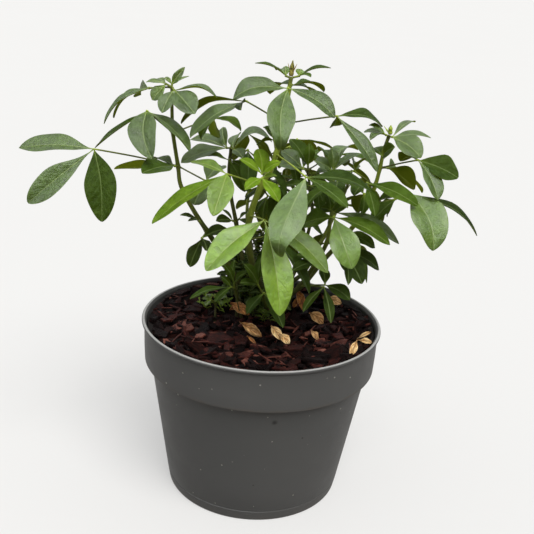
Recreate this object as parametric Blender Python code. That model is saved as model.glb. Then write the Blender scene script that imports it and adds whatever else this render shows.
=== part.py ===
"""A Mexican orange, a small evergreen shrub with leaves in threes, in a plastic nursery pot.

Metres, +Z up. The origin is the centre of the pot's flat foot, on the surface that it stands on. The plant
keeps the habit of the one in the picture: every leaf that the picture shows is placed by the pixel where it
shows and by how near it stands, and the leaves at the back, which it hides, follow a rule.
"""

import math
import random
from collections import namedtuple

import bmesh
import bpy
from mathutils import Matrix, Vector
from mathutils.bvhtree import BVHTree

MM = 0.001

# The pot, in millimetres: a 3 litre nursery pot
RIM_RADIUS = 95.0
POT_HEIGHT = 142.0
BAND_DEPTH = 34.0
BAND_FOOT_RADIUS = 92.3
SHOULDER_RADIUS = 87.5
FOOT_RADIUS = 70.5
WALL = 1.8
LIP = 1.6
POT_SIDES = 32
DRAIN_HOLES = 8
DRAIN_HOLE_RADIUS = 4.5
DRAIN_RING_RADIUS = 58.0

# What fills the pot
FIT_GAP = 0.3
BED_TOP = 133.0
BED_DEPTH = 11.0
CHIP_COUNT = 42
CHIP_SPACING = 14.5
CHIP_LENGTH = (16.0, 28.0)
CHIP_WIDTH = (11.0, 15.0)
CHIP_THICKNESS = (3.0, 5.5)
ROOTED_DEPTH = 34.0
SPRIG_ROOTED_DEPTH = 8.0
HOLE_SIDES = 6
HOLE_TOP = BED_TOP + 9.0
DRY_LEVEL = BED_TOP + 4.0
DRY_DROP = 10.0

# Leaves and stems
BLADE_THICKNESS = 0.8
FOLD = math.radians(13.0)
# How many rows of points a blade has between its base and its tip, by its width
STATIONS_BY_WIDTH = ((19.0, (0.24, 0.55, 0.83)), (7.5, (0.36, 0.76)), (0.0, (0.58,)))
# Where a blade is widest, and how steeply it narrows towards its base and its tip
WIDEST_AT = 0.56
BASE_TAPER = 1.3
TIP_TAPER = 0.8
PETIOLE_RADIUS = 0.95
STEM_SIDES = 6

# The leaves that the front ones hide: how far out of their stem, how long, and how much lower than level
HIDDEN_REACH = (14.0, 34.0)
HIDDEN_LENGTH = (36.0, 56.0)
HIDDEN_DROOP = (0.15, 1.25)
HIDDEN_TURN = 115
# The parts of the picture that are thick with leaves: left, top, right and bottom, in pixels
HIDDEN_AREA = ((232, 130, 300, 300), (296, 146, 372, 296), (372, 165, 392, 225))

# The view that the picture was taken from, for a pot of this size
PICTURE_MIDDLE = 267.0
FOCAL_PIXELS = 800.0
VIEW_DISTANCE = 627.0
VIEW_RISE = math.radians(19.8)
VIEW_ROLL = math.radians(3.8)
VIEW_AIM = Vector((1.5, 0.0, 184.9))

FORWARD = Vector((0.0, math.cos(VIEW_RISE), -math.sin(VIEW_RISE)))
LEVEL_UP = Vector((0.0, math.sin(VIEW_RISE), math.cos(VIEW_RISE)))
LEVEL_RIGHT = Vector((1.0, 0.0, 0.0))
PICTURE_RIGHT = LEVEL_RIGHT * math.cos(VIEW_ROLL) + LEVEL_UP * math.sin(VIEW_ROLL)
PICTURE_UP = LEVEL_UP * math.cos(VIEW_ROLL) - LEVEL_RIGHT * math.sin(VIEW_ROLL)
EYE = VIEW_AIM - FORWARD * VIEW_DISTANCE

# A leaflet: where its tip shows (pixels across and down) and how near it is (mm in front of the pot's axis),
# its width (mm), how far its upper face turns from the viewer to the sky (degrees), how much it arches, and
# how far along it is widest. A leaf lists its leaflets as plain rows of these values.
Leaflet = namedtuple("Leaflet", "across down near width turn bow widest", defaults=(0.09, WIDEST_AT))
# A leaf: the stem's point that it grows from, where its leaflets meet (across, down, near), and its leaflets
Leaf = namedtuple("Leaf", "grows_at joint leaflets")
# A leafy stem: where it leaves the soil (mm right of and in front of the pot's axis), the points that it
# passes (across, down, near), its radius at the foot and the tip (mm), its leaves by name, how many leaves
# it has at the back, the seed that spreads those, and how deep it is rooted (mm)
Stem = namedtuple("Stem", "foot path radii leaves hidden seed rooted", defaults=(0, 1, ROOTED_DEPTH))
# A dry leaf on the mulch: where its two ends show (pixels), and its width and arch (mm)
DryLeaf = namedtuple("DryLeaf", "start end width rise")
# A blade in space: its two ends, its width, the way its upper face looks, its arch and its widest place
Blade = namedtuple("Blade", "base tip width up bow widest", defaults=(WIDEST_AT,))

STEMS = {
    "left_stem": Stem(
        foot=(-10, -36),
        path=[
            (240, 284, -31), (222, 254, -18), (207, 231, -10), (194, 211, -6), (181, 186, -2),
            (178, 166, 0), (173, 133, 2), (172, 110, 2), (172, 87, 2),
        ],
        radii=(2.5, 1.2),
        leaves={
            "far_left": Leaf(5, (94, 149, 20), [
                (19, 148, 12, 21, 50, 0.05),
                (28, 203, 32, 19, 24, 0.05, 0.62),
                (102, 222, 42, 23, 10, 0.05, 0.52),
            ]),
            "high_left": Leaf(6, (147, 111, 12), [
                (96, 146, -6, 18, 66, 0.02, 0.64), (152, 159, 36, 23, 15, 0.12, 0.42), (190, 151, 18, 18, 60),
            ]),
            "high_left_behind": Leaf(6, (214, 118, -16), [
                (222, 144, -6, 15, 112), (241, 131, -12, 14, 88, 0.12), (201, 140, -14, 14, 60),
            ]),
            "middle_left": Leaf(5, (172, 165, 12), [
                (142, 173, 44, 18, 56, 0.05), (114, 169, 4, 14, 116, 0.03), (150, 163, -32, 14, 80),
            ]),
            "inner_left": Leaf(5, (206, 181, 14), [
                (194, 205, 24, 17, 20), (221, 166, -10, 17, 42), (233, 196, 12, 15, 30),
            ]),
            "left_tip_outer": Leaf(8, (149, 88, -3), [
                (104, 124, 2, 17, 68, 0.15, 0.5), (114, 118, -18, 14, 76, 0.14), (141, 95, -40, 14, 70),
            ]),
            "left_tip_front": Leaf(8, (174, 90, 8), [
                (162, 113, 20, 12, 25), (195, 114, 24, 18, 22, 0.07), (217, 98, 12, 13, 78, 0.16),
            ]),
            "left_tip_small": Leaf(8, (166, 84, 2), [
                (152, 100, 4, 11, 34, 0.05), (146, 82, 2, 6, 60), (155, 80, -14, 6, 60),
            ]),
            "left_tip_shoot": Leaf(8, (172, 84, 0), [
                (185, 68, 4, 9, 30, 0.04, 0.42), (189, 76, -8, 4, 60, 0.03), (164, 78, 2, 5, 50),
            ]),
            "low_left": Leaf(2, (202, 238, 4), [
                (190, 267, 14, 12, 25), (228, 229, -16, 12, 40), (207, 251, 18, 9, 30),
            ]),
            "low_left_wisp": Leaf(2, (199, 221, 8), [
                (180, 215, 12, 6, 62), (188, 221, 22, 4, 60),
            ]),
        },
    ),
    "inner_left_stem": Stem(
        foot=(-8, -47),
        path=[
            (252, 288, -47), (243, 262, -43), (236, 222, -39), (231, 196, -38), (229, 172, -38),
            (230, 158, -38), (231, 148, -38),
        ],
        radii=(2.2, 1.2),
        hidden=2,
        seed=3856,
        leaves={
            "node_left": Leaf(2, (233, 221, -34), [
                (216, 221, -24, 10, 48), (221, 209, -42, 5, 60),
            ]),
            "node_right": Leaf(2, (239, 219, -36), [
                (248, 212, -42, 5, 55), (247, 224, -28, 7, 50),
            ]),
            "below_tip": Leaf(5, (229, 160, -34), [
                (245, 192, -22, 15, 30), (202, 156, -30, 11, 66), (250, 176, -46, 12, 60),
            ]),
            "tip_left": Leaf(6, (227, 148, -34), [
                (190, 140, -54, 14, 54), (181, 163, -30, 16, 48), (223, 127, -46, 10, 28),
            ]),
            "tip_right": Leaf(6, (233, 149, -34), [
                (272, 142, -38, 17, 70, 0.32), (243, 158, -22, 11, 35), (240, 134, -58, 12, 55),
            ]),
        },
    ),
    "centre_stem": Stem(
        foot=(2, -32),
        path=[
            (254, 270, -20), (248, 240, -11), (250, 216, -8), (261, 186, -4), (270, 171, -2), (276, 154, 0),
            (284, 124, 0), (289, 90, 2), (291, 78, 2),
        ],
        radii=(3.3, 1.4),
        hidden=1,
        seed=2670,
        leaves={
            "top_front": Leaf(7, (288, 88, 10), [
                (233, 99, 16, 19, 50, 0.15), (283, 148, 38, 22, 8, 0.07, 0.5), (335, 118, 24, 18, 52),
            ]),
            "top_back": Leaf(7, (292, 85, -6), [
                (324, 92, -22, 16, 88, 0.14), (270, 94, -48, 17, 100), (302, 87, -62, 17, 100),
            ]),
            "crown_left": Leaf(8, (286, 76, 2), [
                (255, 63, 4, 8, 82, 0.1, 0.5), (285, 66, 8, 7, 25, 0.03), (276, 70, -22, 9, 70),
            ]),
            "crown_right": Leaf(8, (299, 76, 2), [
                (331, 68, 4, 9, 78, 0.1, 0.5), (301, 67, 9, 8, 25, 0.03), (311, 77, 14, 6, 70),
            ]),
            "crown_bud": Leaf(8, (291, 76, 2), [
                (293, 60, 2, 5, 30, 0.02), (288, 63, -2, 4, 30, 0.02), (297, 64, 0, 4, 30, 0.02),
            ]),
            "upper_right": Leaf(6, (337, 116, 8), [
                (382, 127, -4, 16, 66, 0.18), (377, 172, 26, 16, 44, 0.06), (333, 126, -8, 10, 40),
            ]),
            "upper_left": Leaf(6, (246, 101, -2), [
                (181, 124, -12, 16, 104, 0.16), (190, 138, 14, 17, 52), (242, 112, 24, 13, 60),
            ]),
            "front": Leaf(5, (306, 177, 45), [
                (281, 254, 76, 28, 8, 0.13), (371, 192, 36, 16, 56, 0.1), (348, 208, 66, 17, 42, 0.04),
            ]),
            "front_left": Leaf(3, (227, 174, 30), [
                (152, 224, 48, 15, 46, 0.04),
                (213, 216, 54, 20, 10, 0.06, 0.46),
                (191, 162, 14, 12, 54, 0.06),
            ]),
            "lime_upper": Leaf(4, (262, 174, 30), [
                (258, 149, 20, 13, 25), (239, 159, 34, 9, 42), (281, 162, 36, 9, 42),
            ]),
            "lime_lower": Leaf(4, (262, 178, 34), [
                (245, 190, 48, 11, 35), (278, 202, 50, 13, 30), (277, 176, 26, 5, 55),
            ]),
            "low_front": Leaf(2, (266, 222, 36), [
                (206, 271, 60, 25, 24), (279, 316, 70, 24, 8), (328, 273, 56, 19, 38, 0.08),
            ]),
            "low_behind": Leaf(3, (268, 196, -22), [
                (257, 212, -14, 8, 55), (263, 220, -18, 9, 35), (285, 204, -30, 12, 50),
            ]),
            "mid_behind": Leaf(5, (274, 140, -8), [
                (257, 145, 0, 11, 100), (263, 127, -8, 11, 60), (288, 134, -22, 12, 60),
            ]),
        },
    ),
    "inner_right_stem": Stem(
        foot=(14, -49),
        path=[(289, 284, -50), (303, 250, -50), (312, 214, -51), (310, 190, -52), (308, 170, -52)],
        radii=(1.9, 1.1),
        hidden=2,
        seed=1874,
        leaves={
            "upright": Leaf(4, (308, 166, -50), [
                (309, 143, -48, 9, 15), (290, 139, -62, 14, 38), (322, 149, -66, 9, 55),
            ]),
            "tip_left": Leaf(4, (303, 169, -44), [
                (281, 151, -46, 14, 42), (279, 166, -30, 13, 48), (299, 147, -78, 11, 50),
            ]),
            "below": Leaf(3, (311, 186, -46), [
                (323, 201, -32, 10, 55), (283, 187, -38, 11, 60), (330, 190, -64, 10, 60),
            ]),
        },
    ),
    "front_right_stem": Stem(
        foot=(17, -24),
        path=[
            (300, 286, -17), (315, 264, -7), (327, 242, 4), (330, 222, 8), (332, 210, 8), (334, 190, -4),
            (333, 173, -14),
        ],
        radii=(2.1, 1.2),
        leaves={
            "broad_front": Leaf(3, (334, 217, 22), [
                (352, 269, 42, 22, 12), (390, 245, 28, 17, 54, 0.07), (303, 224, 8, 18, 40),
            ]),
            "broad_back": Leaf(4, (334, 212, 0), [
                (399, 244, 2, 15, 50), (321, 208, -6, 11, 35), (349, 205, 8, 13, 44),
            ]),
            "dark_fan": Leaf(4, (331, 211, 12), [
                (324, 190, 2, 12, 42), (343, 198, 18, 12, 44),
            ]),
            "low_fan": Leaf(2, (343, 250, 12), [
                (379, 270, 10, 14, 42), (362, 284, 30, 15, 25), (348, 285, 36, 9, 40),
            ]),
            "low_inner": Leaf(1, (318, 262, 2), [
                (297, 255, 10, 10, 48), (292, 271, 18, 10, 38),
            ]),
            "low_under": Leaf(2, (341, 234, -14), [
                (375, 248, -10, 13, 48), (352, 262, -16, 9, 40),
            ]),
            "crown_front": Leaf(6, (333, 171, -10), [
                (331, 148, -12, 10, 22), (360, 154, -16, 10, 58), (314, 161, -6, 13, 48),
            ]),
            "crown_back": Leaf(6, (334, 169, -20), [
                (358, 150, -46, 18, 66, 0.24), (319, 151, -50, 16, 60, 0.16), (345, 166, -62, 14, 70),
            ]),
            "fallen_shoot_out": Leaf(0, (325, 285, 14), [
                (322, 268, 4, 10, 28), (350, 300, 22, 13, 35),
            ]),
            "fallen_shoot_in": Leaf(0, (324, 287, 18), [
                (303, 312, 30, 9, 28), (331, 323, 38, 9, 18),
            ]),
        },
    ),
    "right_stem": Stem(
        foot=(22, -38),
        path=[
            (304, 284, -38), (322, 262, -34), (342, 240, -28), (359, 219, -22), (367, 205, -16),
            (375, 186, -10), (380, 168, -8), (384, 150, -6), (389, 136, -6),
        ],
        radii=(2.4, 1.3),
        hidden=2,
        seed=5971,
        leaves={
            "tip_right": Leaf(8, (392, 137, 0), [
                (421, 158, 16, 18, 34), (431, 138, -12, 12, 72, 0.06), (415, 122, -36, 8, 54),
            ]),
            "tip_left": Leaf(8, (386, 135, 0), [
                (369, 125, 4, 8, 62), (370, 140, 12, 8, 70, 0.15), (364, 132, -14, 8, 55),
            ]),
            "tip_bud": Leaf(8, (390, 134, -4), [
                (391, 125, -2, 5, 30, 0.02), (384, 126, -8, 5, 40, 0.04),
            ]),
            "under_tip": Leaf(7, (383, 157, -2), [
                (394, 146, 14, 11, 94), (375, 147, -18, 12, 84),
            ]),
            "far_right": Leaf(6, (418, 160, 6), [
                (458, 180, 14, 20, 36, 0.07, 0.62), (437, 200, 28, 15, 44), (400, 161, -26, 14, 108),
            ]),
            "olive": Leaf(6, (388, 168, -18), [
                (415, 189, -4, 22, 126, 0.05), (422, 193, -30, 15, 84), (396, 172, -52, 14, 70),
            ]),
            "mid_front": Leaf(5, (367, 183, 10), [
                (418, 206, 34, 17, 42), (375, 216, 26, 10, 20), (354, 196, 32, 12, 50),
            ]),
            "broad_right": Leaf(5, (411, 194, 20), [
                (433, 251, 44, 28, 12, 0.1, 0.46), (477, 236, 14, 15, 78, 0.12), (378, 201, 14, 14, 60),
            ]),
            "shaded": Leaf(4, (396, 199, -12), [
                (372, 223, -6, 14, 35), (388, 214, -34, 13, 50),
            ]),
            "shaded_low": Leaf(4, (364, 194, -4), [
                (362, 214, 4, 9, 35), (350, 184, -12, 12, 55),
            ]),
            "olive_inner": Leaf(5, (354, 171, -4), [
                (368, 158, 2, 12, 98), (352, 160, -30, 10, 60), (343, 178, 0, 10, 60),
            ]),
        },
    ),
    "back_left_stem": Stem(
        foot=(-8, -58),
        path=[(256, 276, -63), (251, 246, -70), (247, 216, -76), (249, 188, -80), (252, 162, -84)],
        radii=(2.2, 1.1),
        leaves={},
        hidden=5,
        seed=5517,
    ),
    "back_stem": Stem(
        foot=(4, -62),
        path=[(276, 272, -69), (281, 240, -78), (284, 208, -86), (286, 180, -92), (288, 158, -96)],
        radii=(2.2, 1.1),
        leaves={},
        hidden=4,
        seed=8653,
    ),
    "back_right_stem": Stem(
        foot=(18, -56),
        path=[(304, 272, -62), (320, 244, -69), (334, 216, -75), (345, 192, -79), (352, 170, -82)],
        radii=(2.2, 1.1),
        leaves={},
        hidden=5,
        seed=6185,
    ),
    "low_front_sprig": Stem(
        foot=(2, -17),
        path=[(266, 306, -16), (262, 292, -10)],
        radii=(1.6, 1.1),
        rooted=SPRIG_ROOTED_DEPTH,
        leaves={
            "drooping": Leaf(1, (264, 293, -2), [
                (283, 328, 24, 12, 35), (247, 314, 10, 11, 40), (291, 310, -6, 11, 45),
            ]),
            "upright": Leaf(1, (258, 285, -6), [
                (244, 264, -2, 10, 35), (262, 257, -13, 9, 40), (240, 283, 0, 9, 50),
            ]),
        },
    ),
    "low_left_sprig": Stem(
        foot=(-21, -21),
        path=[(238, 302, -20), (235, 288, -14)],
        radii=(1.5, 1.0),
        rooted=SPRIG_ROOTED_DEPTH,
        leaves={
            "narrow": Leaf(1, (231, 287, -8), [
                (190, 299, 6, 8, 55), (221, 277, -6, 7, 40), (215, 302, 0, 7, 35),
            ]),
            "upright": Leaf(1, (234, 284, -12), [
                (223, 264, -4, 6, 35), (235, 260, -16, 7, 45), (247, 272, -4, 7, 45),
            ]),
        },
    ),
    "ground_sprig": Stem(
        foot=(-38, -9),
        path=[(216, 306, -8), (214, 302, -7)],
        radii=(1.0, 0.9),
        rooted=SPRIG_ROOTED_DEPTH,
        leaves={
            "left": Leaf(1, (211, 300, -4), [
                (203, 299, -2, 5, 55), (206, 306, 4, 5, 45), (207, 294, -10, 5, 45),
            ]),
            "right": Leaf(1, (219, 299, -6), [
                (227, 297, -4, 5, 55), (222, 305, 2, 5, 45), (222, 292, -12, 5, 45),
            ]),
        },
    ),
}

DRY_LEAVES = {
    "dry_leaf_orange": DryLeaf((232, 303), (250, 311), 10, 3.5),
    "dry_leaf_torn": DryLeaf((240, 323), (260, 336), 11, 3.0),
    "dry_petal_middle": DryLeaf((271, 328), (281, 334), 8, 2.5),
    "dry_petal_front": DryLeaf((279, 336), (289, 342), 8, 2.0),
    "dry_leaf_brown": DryLeaf((307, 314), (323, 324), 10, 3.0),
    "dry_petal_upper": DryLeaf((356, 337), (368, 332), 6, 2.0),
    "dry_petal_lower": DryLeaf((359, 340), (370, 344), 6, 1.5),
    "dry_petal_left": DryLeaf((357, 344), (351, 353), 7, 1.5),
    "dry_leaf_back": DryLeaf((329, 300), (338, 307), 8, 2.5),
}


def seen(across, down, near):
    """The point that shows at a pixel of the picture and lies near millimetres in front of the pot's axis."""
    ray = (
        FORWARD
        + PICTURE_RIGHT * ((across - PICTURE_MIDDLE) / FOCAL_PIXELS)
        + PICTURE_UP * ((PICTURE_MIDDLE - down) / FOCAL_PIXELS)
    )
    return EYE + ray * ((-near - EYE.y) / ray.y)


def object_from(name, bm, material):
    """A named object in the scene, in metres, from a bmesh in millimetres."""
    bmesh.ops.recalc_face_normals(bm, faces=bm.faces)
    bmesh.ops.scale(bm, vec=(MM, MM, MM), verts=bm.verts)
    mesh = bpy.data.meshes.new(name)
    bm.to_mesh(mesh)
    bm.free()
    mesh.materials.append(material)
    obj = bpy.data.objects.new(name, mesh)
    bpy.context.scene.collection.objects.link(obj)
    return obj


def plain_material(name, colour, roughness):
    material = bpy.data.materials.new(name)
    material.use_nodes = True
    shader = material.node_tree.nodes["Principled BSDF"]
    shader.inputs["Base Color"].default_value = (*colour, 1.0)
    shader.inputs["Roughness"].default_value = roughness
    return material


def smoothed(obj, degrees):
    """Shades an object smooth, but for its edges that bend more than an angle."""
    obj.data.shade_smooth()
    obj.data.set_sharp_from_angle(angle=math.radians(degrees))
    return obj


def turned(profile, sides):
    """A closed bmesh turned round the Z axis from (radius, height) points that start and end on the axis."""
    bm = bmesh.new()
    rings = []
    for radius, height in profile:
        if radius == 0:
            rings.append([bm.verts.new((0, 0, height))])
            continue
        angles = [2 * math.pi * i / sides for i in range(sides)]
        rings.append([bm.verts.new((radius * math.cos(a), radius * math.sin(a), height)) for a in angles])
    for lower, upper in zip(rings, rings[1:]):
        for i in range(sides):
            j = (i + 1) % sides
            if len(lower) == 1:
                bm.faces.new((lower[0], upper[i], upper[j]))
            elif len(upper) == 1:
                bm.faces.new((lower[i], upper[0], lower[j]))
            else:
                bm.faces.new((lower[i], upper[i], upper[j], lower[j]))
    return bm


def combined(target, others, operation):
    """Applies one MANIFOLD Boolean between an object and a list of objects, which are then removed."""
    group = bpy.data.collections.new(target.name + "_operands")
    bpy.context.scene.collection.children.link(group)
    for other in others:
        group.objects.link(other)
        bpy.context.scene.collection.objects.unlink(other)
    boolean = target.modifiers.new("join", "BOOLEAN")
    boolean.operation = operation
    boolean.operand_type = "COLLECTION"
    boolean.collection = group
    boolean.solver = "MANIFOLD"
    graph = bpy.context.evaluated_depsgraph_get()
    mesh = bpy.data.meshes.new_from_object(target.evaluated_get(graph))
    mesh.name = target.name
    target.modifiers.clear()
    target.data = mesh
    for other in others:
        bpy.data.objects.remove(other)
    bpy.data.collections.remove(group)
    return target


def largest_piece(obj):
    """Keeps only the biggest connected piece, so pockets closed in between crossing chips fill up."""
    bm = bmesh.new()
    bm.from_mesh(obj.data)
    pieces = []
    waiting = set(bm.verts)
    while waiting:
        piece = set()
        front = [waiting.pop()]
        while front:
            vert = front.pop()
            piece.add(vert)
            fresh = [edge.other_vert(vert) for edge in vert.link_edges if edge.other_vert(vert) in waiting]
            waiting.difference_update(fresh)
            front.extend(fresh)
        pieces.append(piece)
    pieces.sort(key=len)
    for piece in pieces[:-1]:
        bmesh.ops.delete(bm, geom=list(piece), context="VERTS")
    bm.to_mesh(obj.data)
    bm.free()
    return obj


def pot_wall_radius(height):
    """The outer radius of the pot's lower wall at a height."""
    return FOOT_RADIUS + (SHOULDER_RADIUS - FOOT_RADIUS) * height / (POT_HEIGHT - BAND_DEPTH)


def build_pot(material):
    shoulder = POT_HEIGHT - BAND_DEPTH
    outside = [
        (0, 0),
        (FOOT_RADIUS - 1.0, 0),
        (FOOT_RADIUS, 1.5),
        (pot_wall_radius(shoulder), shoulder),
        (BAND_FOOT_RADIUS - 0.8, shoulder),
        (BAND_FOOT_RADIUS, shoulder + 1.0),
        (RIM_RADIUS - LIP, POT_HEIGHT - 3.5),
        (RIM_RADIUS, POT_HEIGHT - 2.2),
        (RIM_RADIUS - 0.5, POT_HEIGHT),
    ]
    inside = [
        (RIM_RADIUS - LIP - WALL, POT_HEIGHT),
        (BAND_FOOT_RADIUS - WALL, shoulder + WALL + 1.0),
        (pot_wall_radius(shoulder) - WALL, shoulder + WALL),
        (FOOT_RADIUS - WALL, WALL + 0.6),
        (0, WALL),
    ]
    pot = object_from("pot", turned(outside + inside, POT_SIDES), material)
    drills = []
    for i in range(DRAIN_HOLES):
        angle = 2 * math.pi * (i + 0.5) / DRAIN_HOLES
        bm = bmesh.new()
        place = Vector((DRAIN_RING_RADIUS * math.cos(angle), DRAIN_RING_RADIUS * math.sin(angle), 0))
        bmesh.ops.create_cone(
            bm,
            cap_ends=True,
            segments=8,
            radius1=DRAIN_HOLE_RADIUS,
            radius2=DRAIN_HOLE_RADIUS,
            depth=10,
            matrix=Matrix.Translation(place),
        )
        drills.append(object_from("drain_drill", bm, material))
    return smoothed(combined(pot, drills, "DIFFERENCE"), 30)


def filling_radius(height):
    """The radius that fills the pot at a height, clear of its wall."""
    shoulder = POT_HEIGHT - BAND_DEPTH
    if height < shoulder + WALL:
        return pot_wall_radius(height) - WALL - 2 * FIT_GAP
    share = (height - shoulder - WALL) / (BAND_DEPTH - WALL)
    low, high = BAND_FOOT_RADIUS - WALL, RIM_RADIUS - LIP - WALL
    return low + share * (high - low) - 2 * FIT_GAP


def shown_at(point):
    """The pixel of the picture that a point shows at: across and down."""
    ray = point - EYE
    depth = ray.dot(FORWARD)
    across = PICTURE_MIDDLE + FOCAL_PIXELS * ray.dot(PICTURE_RIGHT) / depth
    down = PICTURE_MIDDLE - FOCAL_PIXELS * ray.dot(PICTURE_UP) / depth
    return across, down


def foot_point(stem, height):
    return Vector((stem.foot[0], -stem.foot[1], height))


def stem_hole_drills(material, through):
    """A prism for each stem's hole, from above the mulch to the stem's buried end, if that is deeper than
    the height asked about."""
    drills = []
    for stem in STEMS.values():
        bottom = BED_TOP - stem.rooted - FIT_GAP
        if bottom > through:
            continue
        bm = bmesh.new()
        radius = (stem.radii[0] + FIT_GAP) / math.cos(math.pi / HOLE_SIDES)
        bmesh.ops.create_cone(
            bm,
            cap_ends=True,
            segments=HOLE_SIDES,
            radius1=radius,
            radius2=radius,
            depth=HOLE_TOP - bottom,
            matrix=Matrix.Translation(foot_point(stem, (HOLE_TOP + bottom) / 2)),
        )
        drills.append(object_from("stem_hole_drill", bm, material))
    return drills


def build_compost(material):
    top = BED_TOP - BED_DEPTH - FIT_GAP
    shoulder = POT_HEIGHT - BAND_DEPTH
    profile = [
        (0, WALL + FIT_GAP),
        (FOOT_RADIUS - WALL - 3.0, WALL + 3 * FIT_GAP),
        (filling_radius(shoulder), shoulder),
        (filling_radius(shoulder), top),
        (0, top),
    ]
    compost = object_from("compost", turned(profile, POT_SIDES), material)
    return combined(compost, stem_hole_drills(material, top), "DIFFERENCE")


def chip_places(dice):
    """Places all over the bed, none closer to another than the spacing."""
    places = []
    reach = filling_radius(BED_TOP) - math.hypot(CHIP_LENGTH[1], CHIP_WIDTH[1]) / 2 - 1.0
    while len(places) < CHIP_COUNT:
        distance = reach * math.sqrt(dice.random())
        bearing = dice.uniform(0, 2 * math.pi)
        place = Vector((distance * math.cos(bearing), distance * math.sin(bearing), BED_TOP))
        if all((place - other).length > CHIP_SPACING for other in places):
            places.append(place)
    return places


def chip(place, dice, material):
    """One angular bark chip, lying tilted with its lower half sunk in the bed."""
    length = dice.uniform(*CHIP_LENGTH)
    width = dice.uniform(*CHIP_WIDTH)
    thickness = dice.uniform(*CHIP_THICKNESS)
    bm = bmesh.new()
    bmesh.ops.create_cube(bm, size=1)
    for vert in bm.verts:
        taper = dice.uniform(0.55, 1.0)
        vert.co = Vector((vert.co.x * length, vert.co.y * width * taper, vert.co.z * thickness))
    tilt = Matrix.Rotation(math.radians(dice.uniform(-16, 16)), 4, "X")
    tilt = tilt @ Matrix.Rotation(math.radians(dice.uniform(-14, 14)), 4, "Y")
    spin = Matrix.Rotation(dice.uniform(0, 2 * math.pi), 4, "Z")
    lift = Matrix.Translation(place + Vector((0, 0, dice.uniform(0.2, 1.6))))
    bmesh.ops.transform(bm, matrix=lift @ spin @ tilt, verts=bm.verts)
    return object_from("chip", bm, material)


def build_mulch(material):
    low = BED_TOP - BED_DEPTH
    profile = [
        (0, low),
        (filling_radius(low), low),
        (filling_radius(BED_TOP - 1.5), BED_TOP - 1.5),
        (filling_radius(BED_TOP) * 0.7, BED_TOP),
        (0, BED_TOP),
    ]
    mulch = object_from("bark_mulch", turned(profile, POT_SIDES), material)
    dice = random.Random(11)
    combined(mulch, [chip(place, dice, material) for place in chip_places(dice)], "UNION")
    return largest_piece(combined(mulch, stem_hole_drills(material, BED_TOP), "DIFFERENCE"))


def tube(points, radii, sides):
    """A closed tapered tube through points, its rings kept from twisting."""
    bm = bmesh.new()
    rings = []
    across = None
    for i, point in enumerate(points):
        ahead = (points[min(i + 1, len(points) - 1)] - points[max(i - 1, 0)]).normalized()
        if across is None:
            across = ahead.orthogonal().normalized()
        across = (across - ahead * across.dot(ahead)).normalized()
        other = ahead.cross(across)
        ring = []
        for k in range(sides):
            angle = 2 * math.pi * k / sides
            ring.append(bm.verts.new(point + (across * math.cos(angle) + other * math.sin(angle)) * radii[i]))
        rings.append(ring)
    for lower, upper in zip(rings, rings[1:]):
        for k in range(sides):
            j = (k + 1) % sides
            bm.faces.new((lower[k], lower[j], upper[j], upper[k]))
    bm.faces.new(rings[0][::-1])
    bm.faces.new(rings[-1])
    return bm


def half_width(t, widest):
    """The blade's half width at t along it, as a share of its greatest: drawn out at the base, blunt at the
    tip."""
    swell = math.sin(math.pi * t ** (math.log(0.5) / math.log(widest)))
    return swell ** (BASE_TAPER if t < widest else TIP_TAPER)


def facing(base, tip, turn):
    """The way the upper face looks: at the viewer, turned by turn degrees towards the sky."""
    along = (tip - base).normalized()
    middle = (base + tip) / 2
    to_eye = (EYE - middle).normalized()
    at_eye = (to_eye - along * to_eye.dot(along)).normalized()
    outward = Vector((middle.x, middle.y, 0)).normalized() * 0.4 + Vector((0, 0, 1))
    skyward = outward - along * outward.dot(along) - at_eye * outward.dot(at_eye)
    skyward.normalize()
    angle = math.radians(turn)
    return at_eye * math.cos(angle) + skyward * math.sin(angle)


def leaflet_blade(base, leaflet):
    tip = seen(leaflet.across, leaflet.down, leaflet.near)
    return Blade(base, tip, leaflet.width, facing(base, tip, leaflet.turn), leaflet.bow, leaflet.widest)


def blade_solid(blade):
    """A folded, arched blade of even thickness, split into triangles alike on both faces."""
    length = (blade.tip - blade.base).length
    along = (blade.tip - blade.base) / length
    up = (blade.up - along * blade.up.dot(along)).normalized()
    side = along.cross(up)
    stations = next(rows for width, rows in STATIONS_BY_WIDTH if blade.width >= width)
    bm = bmesh.new()

    def rib(t):
        return blade.base + along * (length * t) + up * (4 * blade.bow * length * t * (1 - t))

    def pair(point):
        half = up * (BLADE_THICKNESS / 2)
        return bm.verts.new(point + half), bm.verts.new(point - half)

    start = pair(blade.base + along * 0.3)
    rows = []
    for t in stations:
        half = blade.width / 2 * half_width(t, blade.widest)
        edge = side * (half * math.cos(FOLD))
        lift = up * (half * math.sin(FOLD))
        rows.append([pair(rib(t) - edge + lift), pair(rib(t)), pair(rib(t) + edge + lift)])
    end = pair(blade.tip)
    for face in (0, 1):
        first, last = rows[0], rows[-1]
        for k in (0, 1):
            bm.faces.new((start[face], first[k][face], first[k + 1][face]))
            bm.faces.new((end[face], last[k][face], last[k + 1][face]))
            for near_row, far_row in zip(rows, rows[1:]):
                rib_near, rib_far = near_row[1][face], far_row[1][face]
                edge_near, edge_far = near_row[2 * k][face], far_row[2 * k][face]
                bm.faces.new((rib_near, edge_near, edge_far))
                bm.faces.new((rib_near, edge_far, rib_far))
    for k in (0, 2):
        edge = [start, *(row[k] for row in rows), end]
        for a, b in zip(edge, edge[1:]):
            bm.faces.new((a[0], b[0], b[1], a[1]))
    return bm


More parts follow.
